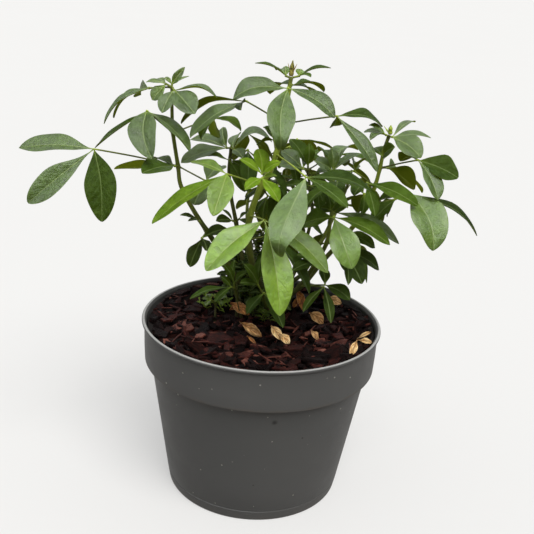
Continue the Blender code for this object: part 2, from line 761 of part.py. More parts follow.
def petiole_solid(root, joint):
    """A leaf stalk from the middle of the stem to just past where its leaflets meet."""
    along = (joint - root).normalized()
    end = joint + along * 0.6
    if (joint - root).length < 30:
        return tube([root, end], [PETIOLE_RADIUS * 1.1, PETIOLE_RADIUS * 1.1], 4)
    middle = (root + joint) / 2 + Vector((0, 0, 0.05 * (joint - root).length))
    return tube([root, middle, end], [PETIOLE_RADIUS * 1.2, PETIOLE_RADIUS, PETIOLE_RADIUS * 1.1], 4)


def stem_points(stem):
    """The stem's course, from its buried end straight up past the mulch and on through its path."""
    buried = [foot_point(stem, BED_TOP - stem.rooted), foot_point(stem, HOLE_TOP + 1.0)]
    return buried + [seen(*point) for point in stem.path]


def hidden_leaf(stem, dice):
    """One leaf at the back by the rule: its root on the stem, its joint, and three blades."""
    root = seen(*stem.path[dice.randrange(1, len(stem.path))])
    bearing = math.radians(dice.uniform(-HIDDEN_TURN, HIDDEN_TURN))
    out = Vector((math.sin(bearing), math.cos(bearing), 0))
    joint = root + out * dice.uniform(*HIDDEN_REACH) + Vector((0, 0, dice.uniform(4, 16)))
    blades = []
    for swing in (-62, 0, 62):
        spread = Matrix.Rotation(math.radians(swing + dice.uniform(-12, 12)), 3, "Z")
        heading = (spread @ out - Vector((0, 0, dice.uniform(*HIDDEN_DROOP)))).normalized()
        length = dice.uniform(*HIDDEN_LENGTH) * (1.0 if swing == 0 else 0.85)
        up = Vector((0, 0, 1)) + out * dice.uniform(0.0, 0.3)
        blades.append(Blade(joint, joint + heading * length, length * 0.34, up, dice.uniform(0.06, 0.13)))
    return root, joint, blades


def inside_hidden_area(point):
    across, down = shown_at(point)
    return any(x0 <= across <= x1 and y0 <= down <= y1 for x0, y0, x1, y1 in HIDDEN_AREA)


def hidden_leaves(stem):
    """The stem's leaves at the back, drawn until there are enough that the front leaves hide."""
    dice = random.Random(stem.seed)
    leaves = []
    while len(leaves) < stem.hidden:
        root, joint, blades = hidden_leaf(stem, dice)
        if all(inside_hidden_area(point) for blade in blades for point in (joint, blade.tip)):
            leaves.append((root, joint, blades))
    return leaves


def wood_solid(stem):
    points = stem_points(stem)
    last = len(points) - 1
    foot, tip = stem.radii
    radii = [foot + (tip - foot) * max(i - 1, 0) / (last - 1) for i in range(last + 1)]
    return tube(points, radii, STEM_SIDES)


def shown_leaves(stem):
    """The stem's leaves that the picture shows: each one's root on the stem, its joint and its blades."""
    leaves = []
    for leaf in stem.leaves.values():
        joint = seen(*leaf.joint)
        blades = [leaflet_blade(joint, Leaflet(*row)) for row in leaf.leaflets]
        leaves.append((seen(*stem.path[leaf.grows_at]), joint, blades))
    return leaves


def leaf_solids(root, joint, blades):
    return [petiole_solid(root, joint)] + [blade_solid(blade) for blade in blades]


def build_stem(name, stem, material):
    """A leafy stem: its wood, its leaf stalks and its blades, fused into one body."""
    wood = object_from(name, wood_solid(stem), material)
    solids = [bm for leaf in shown_leaves(stem) + hidden_leaves(stem) for bm in leaf_solids(*leaf)]
    repeats = [object_from("leaf_part", bm, material) for bm in solids]
    smoothed(largest_piece(combined(wood, repeats, "UNION")), 50)


def on_level(across, down, height):
    """The point at a height that shows at a pixel of the picture."""
    ray = seen(across, down, 0) - EYE
    return EYE + ray * ((height - EYE.z) / ray.z)


def build_dry_leaf(name, leaf, ground, material):
    """A dry curled leaf or petal let down in small steps until the next one would touch the mulch."""
    base = on_level(*leaf.start, DRY_LEVEL)
    tip = on_level(*leaf.end, DRY_LEVEL)
    bm = blade_solid(Blade(base, tip, leaf.width, Vector((0, 0, 1)), leaf.rise / (tip - base).length))
    bmesh.ops.translate(bm, verts=bm.verts, vec=(0, 0, DRY_DROP))
    while not BVHTree.FromBMesh(bm).overlap(ground):
        bmesh.ops.translate(bm, verts=bm.verts, vec=(0, 0, -FIT_GAP))
    bmesh.ops.translate(bm, verts=bm.verts, vec=(0, 0, 1.5 * FIT_GAP))
    return object_from(name, bm, material)


def main():
    for old in list(bpy.data.objects):
        bpy.data.objects.remove(old)
    plastic = plain_material("grey_plastic", (0.07, 0.07, 0.068), 0.5)
    soil = plain_material("compost", (0.02, 0.014, 0.01), 0.95)
    bark = plain_material("bark", (0.05, 0.022, 0.016), 0.8)
    green = plain_material("leaf_green", (0.10, 0.19, 0.05), 0.4)
    dry = plain_material("dry_leaf", (0.45, 0.28, 0.13), 0.7)
    build_pot(plastic)
    build_compost(soil)
    mulch = build_mulch(bark)
    for name, stem in STEMS.items():
        build_stem(name, stem, green)
    corners = [vert.co / MM for vert in mulch.data.vertices]
    ground = BVHTree.FromPolygons(corners, [tuple(face.vertices) for face in mulch.data.polygons])
    for name, leaf in DRY_LEAVES.items():
        build_dry_leaf(name, leaf, ground, dry)


main()
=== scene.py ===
"""The looks of a young Mexican orange in a grey plastic nursery pot, topped with bark chips.

Lengths are millimetres until a piece is made, and a piece is in metres. The leaves, stems and dry leaves
follow the values and the rule of their solids closely, so each fine piece lies where its solid does.
"""

import math
import random
from collections import namedtuple

import bpy
from mathutils import Matrix, Vector, noise


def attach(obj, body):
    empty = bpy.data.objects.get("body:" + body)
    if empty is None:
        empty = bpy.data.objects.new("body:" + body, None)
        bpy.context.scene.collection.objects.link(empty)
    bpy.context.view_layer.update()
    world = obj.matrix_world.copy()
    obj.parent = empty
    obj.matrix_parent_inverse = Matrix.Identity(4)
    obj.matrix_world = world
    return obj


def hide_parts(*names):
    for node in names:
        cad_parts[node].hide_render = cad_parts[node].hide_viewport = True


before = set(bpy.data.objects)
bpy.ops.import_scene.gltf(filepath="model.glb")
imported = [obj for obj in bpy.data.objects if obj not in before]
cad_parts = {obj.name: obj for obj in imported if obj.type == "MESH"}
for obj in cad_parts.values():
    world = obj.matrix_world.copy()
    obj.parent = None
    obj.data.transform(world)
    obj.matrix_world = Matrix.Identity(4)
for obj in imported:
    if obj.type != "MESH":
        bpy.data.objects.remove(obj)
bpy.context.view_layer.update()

MM = 0.001

# The pot and what fills it, in millimetres
RIM_RADIUS = 95.0
POT_HEIGHT = 142.0
BAND_DEPTH = 34.0
BAND_FOOT_RADIUS = 92.3
SHOULDER_RADIUS = 87.5
FOOT_RADIUS = 70.5
WALL = 1.8
LIP = 1.6
DRAIN_HOLES = 8
DRAIN_HOLE_RADIUS = 4.5
DRAIN_RING_RADIUS = 58.0
FIT_GAP = 0.3
BED_TOP = 133.0
BED_DEPTH = 11.0
ROOTED_DEPTH = 34.0
SPRIG_ROOTED_DEPTH = 8.0
HOLE_TOP = BED_TOP + 9.0
DRY_LEVEL = BED_TOP + 4.0

# Leaves and stems
# Where a blade is widest, and how steeply it narrows towards its base and its tip
WIDEST_AT = 0.56
BASE_TAPER = 1.2
TIP_TAPER = 0.64
PETIOLE_RADIUS = 0.75

# The leaves that the front ones hide: how far out of their stem, how long, how much lower than level, how
# far they turn to a side, how wide their three blades spread (degrees), and a blade's width for its length
HIDDEN_REACH = (14.0, 34.0)
HIDDEN_LENGTH = (36.0, 56.0)
HIDDEN_DROOP = (0.15, 1.25)
HIDDEN_TURN = 115
HIDDEN_SPREAD = 62
HIDDEN_WIDTH = 0.34
# The parts of the picture that are thick with leaves: left, top, right and bottom, in pixels
HIDDEN_AREA = ((232, 130, 300, 300), (296, 146, 372, 296), (372, 165, 392, 225))

# The view that the picture was taken from, for a pot of this size
PICTURE_SIZE = 534.0
PICTURE_MIDDLE = PICTURE_SIZE / 2
FOCAL_PIXELS = 800.0
VIEW_DISTANCE = 627.0
VIEW_RISE = math.radians(19.8)
VIEW_ROLL = math.radians(3.8)
VIEW_AIM = Vector((1.5, 0.0, 184.9))

FORWARD = Vector((0.0, math.cos(VIEW_RISE), -math.sin(VIEW_RISE)))
LEVEL_UP = Vector((0.0, math.sin(VIEW_RISE), math.cos(VIEW_RISE)))
LEVEL_RIGHT = Vector((1.0, 0.0, 0.0))
PICTURE_RIGHT = LEVEL_RIGHT * math.cos(VIEW_ROLL) + LEVEL_UP * math.sin(VIEW_ROLL)
PICTURE_UP = LEVEL_UP * math.cos(VIEW_ROLL) - LEVEL_RIGHT * math.sin(VIEW_ROLL)
EYE = VIEW_AIM - FORWARD * VIEW_DISTANCE

# A leaflet: where its tip shows (pixels across and down) and how near it is (mm in front of the pot's axis),
# its width (mm), how far its upper face turns from the viewer to the sky (degrees), how much it arches, and
# how far along it is widest
Leaflet = namedtuple("Leaflet", "across down near width turn bow widest", defaults=(0.09, WIDEST_AT))
# A leafy stem: where it leaves the soil (mm right of and in front of the pot's axis), the points that it
# passes (across, down, near), its radius at the foot and the tip (mm), its leaves by name, how many leaves
# it has at the back, the seed that spreads those, and how deep it is rooted (mm)
Stem = namedtuple("Stem", "foot path radii leaves hidden seed rooted", defaults=(0, 1, ROOTED_DEPTH))
# A dry leaf on the mulch: where its two ends show (pixels), and its width and arch (mm)
DryLeaf = namedtuple("DryLeaf", "start end width rise")
# A blade in space: its two ends, its width, the way its upper face looks, its arch and its widest place
Blade = namedtuple("Blade", "base tip width up bow widest", defaults=(WIDEST_AT,))


class Leaf:
    """A leaf: the stem's point that it grows from, where its leaflets meet (across, down, near), and a row of
    values for each leaflet."""

    def __init__(self, grows_at, joint, rows):
        self.grows_at = grows_at
        self.joint = joint
        self.leaflets = [Leaflet(*row) for row in rows]


STEMS = {
    "left_stem": Stem(
        foot=(-10, -36),
        path=[
            (240, 284, -31), (222, 254, -18), (207, 231, -10), (194, 211, -6), (181, 186, -2),
            (178, 166, 0), (173, 133, 2), (172, 110, 2), (172, 87, 2),
        ],
        radii=(2.5, 1.2),
        leaves={
            "far_left": Leaf(5, (94, 149, 20), [
                (19, 148, 12, 21, 50, 0.05),
                (28, 203, 32, 19, 24, 0.05, 0.62),
                (102, 222, 42, 23, 10, 0.05, 0.52),
            ]),
            "high_left": Leaf(6, (147, 111, 12), [
                (95, 148, -6, 13, 76, 0.02, 0.6), (152, 159, 36, 21, 15, 0.12, 0.42), (190, 151, 18, 18, 60),
            ]),
            "high_left_behind": Leaf(6, (214, 118, -16), [
                (219, 138, -8, 13, 126), (241, 131, -12, 15, 66, 0.12), (201, 140, -14, 14, 60),
            ]),
            "middle_left": Leaf(5, (175, 166, 10), [
                (142, 173, 40, 18, 50, 0.05), (114, 169, 4, 14, 118, 0.03), (150, 163, -32, 14, 80),
            ]),
            "inner_left": Leaf(5, (206, 181, 14), [
                (194, 205, 24, 17, 20), (221, 166, -10, 17, 42), (233, 196, 12, 15, 30),
            ]),
            "left_tip_outer": Leaf(8, (149, 88, -3), [
                (104, 124, 2, 12, 76, 0.13, 0.5), (114, 118, -18, 14, 76, 0.14), (141, 95, -40, 14, 70),
            ]),
            "left_tip_front": Leaf(8, (174, 90, 8), [
                (162, 113, 20, 12, 25), (195, 114, 24, 18, 22, 0.07), (217, 98, 12, 13, 78, 0.16),
            ]),
            "left_tip_small": Leaf(8, (166, 84, 2), [
                (152, 100, 4, 11, 34, 0.05), (146, 82, 2, 6, 60), (155, 80, -14, 6, 60),
            ]),
            "left_tip_shoot": Leaf(8, (172, 84, 0), [
                (185, 67, 2, 6.5, 20, 0.04, 0.42), (189, 76, -8, 3.5, 60, 0.03), (164, 78, 2, 5, 50),
            ]),
            "low_left": Leaf(2, (202, 238, 4), [
                (190, 267, 14, 12, 25), (228, 229, -16, 12, 40), (207, 251, 18, 9, 30),
            ]),
            "low_left_wisp": Leaf(2, (199, 221, 8), [
                (180, 215, 12, 6, 62), (188, 221, 22, 4, 60),
            ]),
        },
    ),
    "inner_left_stem": Stem(
        foot=(-8, -47),
        path=[
            (252, 288, -47), (243, 262, -43), (236, 222, -39), (231, 196, -38), (229, 172, -38),
            (230, 158, -38), (231, 148, -38),
        ],
        radii=(2.2, 1.2),
        hidden=2,
        seed=3856,
        leaves={
            "node_left": Leaf(2, (233, 221, -34), [
                (216, 221, -24, 10, 48), (221, 209, -42, 5, 60),
            ]),
            "node_right": Leaf(2, (239, 219, -36), [
                (248, 212, -42, 5, 55), (247, 224, -28, 7, 50),
            ]),
            "below_tip": Leaf(5, (229, 160, -34), [
                (245, 192, -22, 15, 30), (202, 156, -30, 11, 66), (250, 176, -46, 12, 60),
            ]),
            "tip_left": Leaf(6, (227, 148, -34), [
                (190, 140, -54, 14, 54), (181, 163, -30, 16, 48), (223, 127, -46, 10, 28),
            ]),
            "tip_right": Leaf(6, (233, 149, -34), [
                (272, 142, -38, 17, 70, 0.32), (243, 158, -22, 11, 35), (240, 134, -58, 12, 55),
            ]),
        },
    ),
    "centre_stem": Stem(
        foot=(2, -32),
        path=[
            (254, 270, -20), (248, 240, -11), (250, 216, -8), (261, 186, -4), (270, 171, -2), (276, 154, 0),
            (284, 124, 0), (289, 90, 2), (291, 78, 2),
        ],
        radii=(3.3, 1.4),
        hidden=1,
        seed=2670,
        leaves={
            "top_front": Leaf(7, (288, 88, 10), [
                (233, 99, 16, 19, 50, 0.15), (283, 146, 38, 20.5, 8, 0.07, 0.5), (335, 118, 24, 17, 52),
            ]),
            "top_back": Leaf(7, (292, 85, -6), [
                (324, 92, -22, 14, 88, 0.14), (270, 94, -48, 17, 100), (316, 104, -62, 13, 100),
            ]),
            "crown_left": Leaf(8, (286, 76, 2), [
                (255, 63, 4, 8, 82, 0.1, 0.5), (286, 66, -1, 6, 0, 0.03), (276, 70, -22, 9, 70),
            ]),
            "crown_right": Leaf(8, (299, 76, 2), [
                (331, 68, 4, 9, 78, 0.1, 0.5), (301, 69, 0, 7, 0, 0.03), (311, 77, 14, 6, 70),
            ]),
            "crown_bud": Leaf(8, (291, 76, 2), [
                (293, 60, 2, 5, 30, 0.02), (288, 63, -2, 4, 30, 0.02), (297, 64, 0, 4, 30, 0.02),
            ]),
            "upper_right": Leaf(6, (337, 116, 8), [
                (382, 127, -4, 15, 62, 0.15), (377, 172, 26, 14.5, 44, 0.06), (333, 126, -8, 10, 40),
            ]),
            "upper_left": Leaf(6, (246, 101, -2), [
                (181, 124, -12, 16, 104, 0.16), (190, 138, 14, 17, 52), (241, 110, 24, 9, 64),
            ]),
            "front": Leaf(5, (306, 177, 45), [
                (279, 254, 76, 24, 12, 0.13, 0.5), (371, 192, 36, 16, 56, 0.1), (348, 208, 66, 13, 46, 0.04),
            ]),
            "front_left": Leaf(3, (227, 174, 30), [
                (152, 224, 48, 15, 46, 0.04),
                (213, 216, 54, 18.5, 10, 0.06, 0.46),
                (191, 162, 14, 12, 54, 0.06),
            ]),
            "lime_upper": Leaf(4, (262, 174, 30), [
                (258, 149, 20, 12.5, 25), (239, 159, 34, 8, 42), (281, 162, 36, 8, 42),
            ]),
            "lime_lower": Leaf(4, (262, 178, 34), [
                (245, 190, 48, 9, 35), (279, 202, 50, 10.5, 30), (277, 176, 26, 5, 55),
            ]),
            "low_front": Leaf(2, (264.5, 220, 36), [
                (206, 271, 60, 22, 24), (280, 316, 70, 23, 17, 0.09, 0.58), (328, 273, 56, 18, 38, 0.08),
            ]),
            "low_behind": Leaf(3, (268, 196, -22), [
                (257, 212, -14, 8, 55), (263, 220, -18, 9, 35), (285, 204, -30, 12, 50),
            ]),
            "mid_behind": Leaf(5, (274, 140, -8), [
                (257, 145, 0, 11, 100), (263, 127, -8, 11, 60), (288, 134, -22, 12, 60),
            ]),
        },
    ),
    "inner_right_stem": Stem(
        foot=(14, -49),
        path=[(289, 284, -50), (303, 250, -50), (312, 214, -51), (310, 190, -52), (308, 170, -52)],
        radii=(1.9, 1.1),
        hidden=2,
        seed=1874,
        leaves={
            "upright": Leaf(4, (308, 166, -50), [
                (309, 143, -48, 9, 15), (290, 139, -62, 14, 38), (322, 149, -66, 9, 55),
            ]),
            "tip_left": Leaf(4, (303, 169, -44), [
                (281, 151, -46, 14, 42), (279, 166, -30, 13, 48), (299, 147, -78, 11, 50),
            ]),
            "below": Leaf(3, (311, 186, -46), [
                (323, 201, -32, 10, 55), (283, 187, -38, 11, 60), (330, 190, -64, 10, 60),
            ]),
        },
    ),
    "front_right_stem": Stem(
        foot=(17, -24),
        path=[
            (300, 286, -17), (315, 264, -7), (327, 242, 4), (330, 222, 8), (332, 210, 8), (334, 190, -4),
            (333, 173, -14),
        ],
        radii=(2.1, 1.2),
        leaves={
            "broad_front": Leaf(3, (334, 217, 22), [
                (352, 269, 42, 22, 12), (390, 245, 28, 17, 54, 0.07), (303, 224, 8, 18, 40),
            ]),
            "broad_back": Leaf(4, (334, 212, 0), [
                (399, 244, 2, 15, 50), (321, 208, -6, 11, 35), (349, 205, 8, 13, 44),
            ]),
            "dark_fan": Leaf(4, (331, 211, 12), [
                (324, 190, 2, 12, 42), (343, 198, 18, 12, 44),
            ]),
            "low_fan": Leaf(2, (343, 250, 12), [
                (379, 270, 10, 14, 42), (362, 284, 30, 15, 25), (348, 285, 36, 9, 40),
            ]),
            "low_inner": Leaf(1, (318, 262, 2), [
                (297, 255, 10, 10, 48), (292, 271, 18, 10, 38),
            ]),
            "low_under": Leaf(2, (341, 234, -14), [
                (375, 248, -10, 13, 48), (352, 262, -16, 9, 40),
            ]),
            "crown_front": Leaf(6, (333, 171, -10), [
                (331, 148, -12, 10, 22), (360, 154, -16, 10, 58), (314, 161, -6, 13, 48),
            ]),
            "crown_back": Leaf(6, (334, 169, -20), [
                (358, 150, -46, 18, 66, 0.24), (319, 151, -50, 16, 60, 0.16), (345, 166, -62, 14, 70),
            ]),
            "fallen_shoot_out": Leaf(0, (325, 285, 14), [
                (322, 268, 4, 10, 28), (350, 300, 22, 13, 35),
            ]),
            "fallen_shoot_in": Leaf(0, (324, 287, 18), [
                (303, 312, 30, 7.5, 34), (331, 323, 38, 8, 18),
            ]),
        },
    ),
    "right_stem": Stem(
        foot=(22, -38),
        path=[
            (304, 284, -38), (322, 262, -34), (342, 240, -28), (359, 219, -22), (367, 205, -16),
            (375, 186, -10), (380, 168, -8), (384, 150, -6), (389, 136, -6),
        ],
        radii=(2.4, 1.3),
        hidden=2,
        seed=5971,
        leaves={
            "tip_right": Leaf(8, (392, 137, 0), [
                (421, 158, 16, 18, 34), (431, 138, -12, 12, 72, 0.06), (415, 122, -36, 8, 54),
            ]),
            "tip_left": Leaf(8, (386, 135, 0), [
                (369, 125, 4, 8, 62), (370, 140, 12, 8, 70, 0.15), (364, 132, -14, 8, 55),
            ]),
            "tip_bud": Leaf(8, (390, 134, -4), [
                (391, 125, -2, 5, 30, 0.02), (384, 126, -8, 5, 40, 0.04),
            ]),
            "under_tip": Leaf(7, (383, 157, -2), [
                (395, 147, 14, 12, 44), (374, 148, -18, 13, 44),
            ]),
            "far_right": Leaf(6, (418, 160, 6), [
                (458, 178, 12, 21, 34, 0.07, 0.56),
                (438, 200, 28, 16, 44, 0.09, 0.6),
                (400, 161, -26, 14, 108),
            ]),
            "olive": Leaf(6, (388, 168, -18), [
                (415, 189, -4, 22, 126, 0.05), (422, 193, -30, 15, 84), (396, 172, -52, 14, 70),
            ]),
            "mid_front": Leaf(5, (367, 183, 10), [
                (418, 206, 34, 14.5, 42), (375, 216, 26, 10, 20), (354, 196, 32, 12, 50),
            ]),
            "broad_right": Leaf(5, (411, 194, 20), [
                (433, 251, 44, 26.5, 22, 0.1, 0.46), (477, 236, 14, 10.5, 62, 0.12), (378, 201, 14, 14, 60),
            ]),
            "shaded": Leaf(4, (396, 199, -12), [
                (372, 223, -6, 14, 35), (388, 214, -34, 13, 50),
            ]),
            "shaded_low": Leaf(4, (364, 194, -4), [
                (362, 214, 4, 9, 35), (350, 184, -12, 12, 55),
            ]),
            "olive_inner": Leaf(5, (354, 171, -4), [
                (368, 158, 2, 12, 98), (352, 160, -30, 10, 60), (343, 178, 0, 10, 60),
            ]),
        },
    ),
    "back_left_stem": Stem(
        foot=(-8, -58),
        path=[(256, 276, -63), (251, 246, -70), (247, 216, -76), (249, 188, -80), (252, 162, -84)],
        radii=(2.2, 1.1),
        leaves={},
        hidden=5,
        seed=5517,
    ),
    "back_stem": Stem(
        foot=(4, -62),
        path=[(276, 272, -69), (281, 240, -78), (284, 208, -86), (286, 180, -92), (288, 158, -96)],
        radii=(2.2, 1.1),
        leaves={},
        hidden=4,
        seed=8653,
    ),
    "back_right_stem": Stem(
        foot=(18, -56),
        path=[(304, 272, -62), (320, 244, -69), (334, 216, -75), (345, 192, -79), (352, 170, -82)],
        radii=(2.2, 1.1),
        leaves={},
        hidden=5,
        seed=6185,
    ),
    "low_front_sprig": Stem(
        foot=(2, -17),
        path=[(266, 306, -16), (262, 292, -10)],
        radii=(1.6, 1.1),
        rooted=SPRIG_ROOTED_DEPTH,
        leaves={
            "drooping": Leaf(1, (264, 293, -2), [
                (283, 328, 24, 12, 35), (247, 314, 10, 11, 40), (291, 310, -6, 11, 45),
            ]),
            "upright": Leaf(1, (258, 285, -6), [
                (244, 264, -2, 10, 35), (262, 257, -13, 9, 40), (240, 283, 0, 9, 50),
            ]),
        },
    ),
    "low_left_sprig": Stem(
        foot=(-21, -21),
        path=[(238, 302, -20), (235, 288, -14)],
        radii=(1.5, 1.0),
        rooted=SPRIG_ROOTED_DEPTH,
        leaves={
            "narrow": Leaf(1, (231, 287, -8), [
                (190, 299, 6, 8, 55), (221, 277, -6, 7, 40), (215, 302, 0, 7, 35),
            ]),
            "upright": Leaf(1, (234, 284, -12), [
                (223, 264, -4, 6, 35), (235, 260, -16, 7, 45), (247, 272, -4, 7, 45),
            ]),
        },
    ),
    "ground_sprig": Stem(
        foot=(-38, -9),
        path=[(216, 306, -8), (214, 302, -7)],
        radii=(1.0, 0.9),
        rooted=SPRIG_ROOTED_DEPTH,
        leaves={
            "left": Leaf(1, (211, 300, -4), [
                (203, 299, -2, 5, 55), (206, 306, 4, 5, 45), (207, 294, -10, 5, 45),
            ]),
            "right": Leaf(1, (219, 299, -6), [
                (227, 297, -4, 5, 55), (222, 305, 2, 5, 45), (222, 292, -12, 5, 45),
            ]),
        },
    ),
}

DRY_LEAVES = {
    "dry_leaf_orange": DryLeaf((230, 303), (249, 315), 9, 3.5),
    "dry_leaf_torn": DryLeaf((240, 322), (262, 337), 7.2, 3.0),
    "dry_petal_middle": DryLeaf((271, 326), (281, 340), 7.2, 2.5),
    "dry_petal_front": DryLeaf((280, 334), (289, 344), 6.8, 2.0),
    "dry_leaf_brown": DryLeaf((309, 313), (323, 324), 9, 3.0),
    "dry_petal_upper": DryLeaf((357, 339), (371, 332), 3.0, 1.2),
    "dry_petal_lower": DryLeaf((358, 340), (372, 343), 4.6, 1.2),
    "dry_petal_left": DryLeaf((357, 340), (350, 356), 5.6, 1.5),
    "dry_leaf_back": DryLeaf((325, 298), (341, 304), 9, 2.5),
}


def seen(across, down, near):
    """The point that shows at a pixel of the picture and lies near millimetres in front of the pot's axis."""
    ray = (
        FORWARD
        + PICTURE_RIGHT * ((across - PICTURE_MIDDLE) / FOCAL_PIXELS)
        + PICTURE_UP * ((PICTURE_MIDDLE - down) / FOCAL_PIXELS)
    )
    return EYE + ray * ((-near - EYE.y) / ray.y)


def shown_at(point):
    """The pixel of the picture that a point shows at: across and down."""
    ray = point - EYE
    depth = ray.dot(FORWARD)
    across = PICTURE_MIDDLE + FOCAL_PIXELS * ray.dot(PICTURE_RIGHT) / depth
    down = PICTURE_MIDDLE - FOCAL_PIXELS * ray.dot(PICTURE_UP) / depth
    return across, down


def on_level(across, down, height):
    """The point at a height that shows at a pixel of the picture."""
    ray = seen(across, down, 0) - EYE
    return EYE + ray * ((height - EYE.z) / ray.z)


def full_turn(count, start=0):
    """The angles of a full turn in equal steps."""
    return [2 * math.pi * (k + start) / count for k in range(count)]


def clamped(value):
    return min(1.0, max(0.0, value))


def bell(distance, width):
    """1 in the middle, falling smoothly to nearly 0 at twice the width."""
    return math.exp(-((distance / width) ** 2))


def linked(name, data):
    """A new object that is in the scene."""
    obj = bpy.data.objects.new(name, data)
    bpy.context.scene.collection.objects.link(obj)
    return obj


# Camera


def place_camera():
    """A level lens at the picture's eye point, turned by the picture's roll."""
    data = bpy.data.cameras.new("picture_camera")
    data.sensor_width = 36.0
    data.lens = data.sensor_width * FOCAL_PIXELS / PICTURE_SIZE
    data.clip_start = 0.01
    data.clip_end = 2 * FLOOR_REACH
    camera = linked("picture_camera", data)
    columns = Matrix((PICTURE_RIGHT, PICTURE_UP, -FORWARD)).transposed()
    camera.matrix_world = Matrix.Translation(EYE * MM) @ columns.to_4x4()
    bpy.context.scene.camera = camera


# Node helpers


class Nodes:
    """A node tree that is being written. Its methods add nodes, and most give the new node's output."""

    def __init__(self, tree):
        self.tree = tree

    def feed(self, node, feeds):
        """Sets a node's inputs by name or number, to values or to the sockets that drive them."""
        for key, value in feeds.items():
            if isinstance(value, bpy.types.NodeSocket):
                self.tree.links.new(value, node.inputs[key])
            else:
                node.inputs[key].default_value = value

    def put(self, kind, feeds=None, **settings):
        node = self.tree.nodes.new("ShaderNode" + kind)
        for name, value in settings.items():
            setattr(node, name, value)
        self.feed(node, feeds or {})
        return node

    def maths(self, operation, first, second=0.0, third=0.0, clamp=False):
        feeds = {0: first, 1: second, 2: third}
        return self.put("Math", feeds, operation=operation, use_clamp=clamp).outputs[0]

    def times(self, first, second):
        return self.maths("MULTIPLY", first, second)

    def summed(self, first, share, rest):
        """A share of the first value, plus the rest."""
        return self.maths("MULTIPLY_ADD", first, share, rest)

    def mixed(self, share, low, high, blend="MIX"):
        """A colour between two, or one multiplied by the other, by a share from 0 to 1."""
        low, high = ((*value, 1.0) if isinstance(value, tuple) else value for value in (low, high))
        return self.put("Mix", {0: share, 6: low, 7: high}, data_type="RGBA", blend_type=blend).outputs[2]

    def ranged(self, value, low, high, new_low=0.0, new_high=1.0):
        """A value moved from one range to another, and kept inside it."""
        feeds = {0: value, 1: low, 2: high, 3: new_low, 4: new_high}
        return self.put("MapRange", feeds, clamp=True).outputs[0]

    def place(self, kind="Object"):
        return self.put("TexCoord").outputs[kind]

    def vectors(self, operation, first, second):
        return self.put("VectorMath", {0: first, 1: second}, operation=operation).outputs

    def split(self, vector):
        return self.put("SeparateXYZ", {0: vector}).outputs

    def uneven(self, place, scale, detail, roughness=0.5):
        feeds = {"Vector": place, "Scale": scale, "Detail": detail, "Roughness": roughness}
        return self.put("TexNoise", feeds).outputs[0]

    def carried(self, name):
        """A value that each point of the mesh carries."""
        return self.put("Attribute", attribute_name=name).outputs["Fac"]

    def shared(self, maker, **values):
        """An effect that several materials share, whose node group is built once."""
        if maker not in GROUPS:
            GROUPS[maker] = maker()
        feeds = {title.capitalize(): value for title, value in values.items()}
        return self.put("Group", feeds, node_tree=GROUPS[maker]).outputs

    def cloud(self, size, contrast):
        return self.shared(cloud_group, size=size, contrast=contrast)["Value"]

    def dust(self, spacing, amount, radius):
        return self.shared(dust_group, spacing=spacing, amount=amount, radius=radius)["Mask"]

    def grain(self, width, stretch):
        return self.shared(grain_group, width=width, stretch=stretch)["Value"]

    def veins(self, rib, slant, line):
        return self.shared(vein_group, rib=rib, slant=slant, line=line)


class Paint(Nodes):
    """A material that is being mixed: a base colour that others are laid over, for its Principled shader."""

    def __init__(self, name, **constants):
        self.material = bpy.data.materials.new(name)
        self.material.use_nodes = True
        super().__init__(self.material.node_tree)
        self.shader = self.tree.nodes["Principled BSDF"]
        titles = {title: title.replace("_", " ").title().replace("Ior", "IOR") for title in constants}
        self.feed(self.shader, {titles[title]: value for title, value in constants.items()})
        self.base = None

    def over(self, mask, share, colour):
        """Lays a colour over the base where a mask is, by up to a share."""
        self.base = self.mixed(self.times(mask, share), self.base, colour)

    def lighten(self, light):
        """Multiplies the base by a value."""
        grey = self.put("CombineColor", {0: light, 1: light, 2: light}).outputs[0]
        self.base = self.mixed(1.0, self.base, grey, "MULTIPLY")

    def finished(self, roughness, height, depth):
        """Feeds the shader its colour, its roughness and a bump of a depth in millimetres."""
        bump = self.put("Bump", {"Strength": 1.0, "Distance": depth * MM, "Height": height}).outputs[0]
        self.feed(self.shader, {"Base Color": self.base, "Roughness": roughness, "Normal": bump})
        return self.material

    def let_light_through(self, share, grown, young):
        """Mixes in the light that comes through a thin blade from behind, most of it through young leaves."""
        glow = self.put("BsdfTranslucent", {"Color": self.mixed(self.carried("fresh"), grown, young)})
        both = self.put("MixShader", {0: share, 1: self.shader.outputs[0], 2: glow.outputs[0]})
        self.feed(self.tree.nodes["Material Output"], {"Surface": both.outputs[0]})


# Effects that several materials share

GROUPS = {}


def new_group(name, inputs, outputs):
    """An empty node group with float inputs and their values, and its named outputs."""
    tree = bpy.data.node_groups.new(name, "ShaderNodeTree")
    for title, value in inputs.items():
        socket = tree.interface.new_socket(title, in_out="INPUT", socket_type="NodeSocketFloat")
        socket.default_value = value
    for title in outputs:
        tree.interface.new_socket(title, in_out="OUTPUT", socket_type="NodeSocketFloat")
    start, end = tree.nodes.new("NodeGroupInput"), tree.nodes.new("NodeGroupOutput")
    return Nodes(tree), start.outputs, end


def cloud_group():
    """Soft uneven patches from 0 to 1, of a size in millimetres."""
    nodes, given, end = new_group("cloud_patches", {"Size": 10.0, "Contrast": 1.0}, ["Value"])
    patches = nodes.uneven(nodes.place(), nodes.maths("DIVIDE", 1.0 / MM, given["Size"]), 5.0, 0.6)
    spread = nodes.times(nodes.maths("SUBTRACT", patches, 0.5), given["Contrast"])
    nodes.feed(end, {"Value": nodes.maths("ADD", spread, 0.5, clamp=True)})
    return nodes.tree


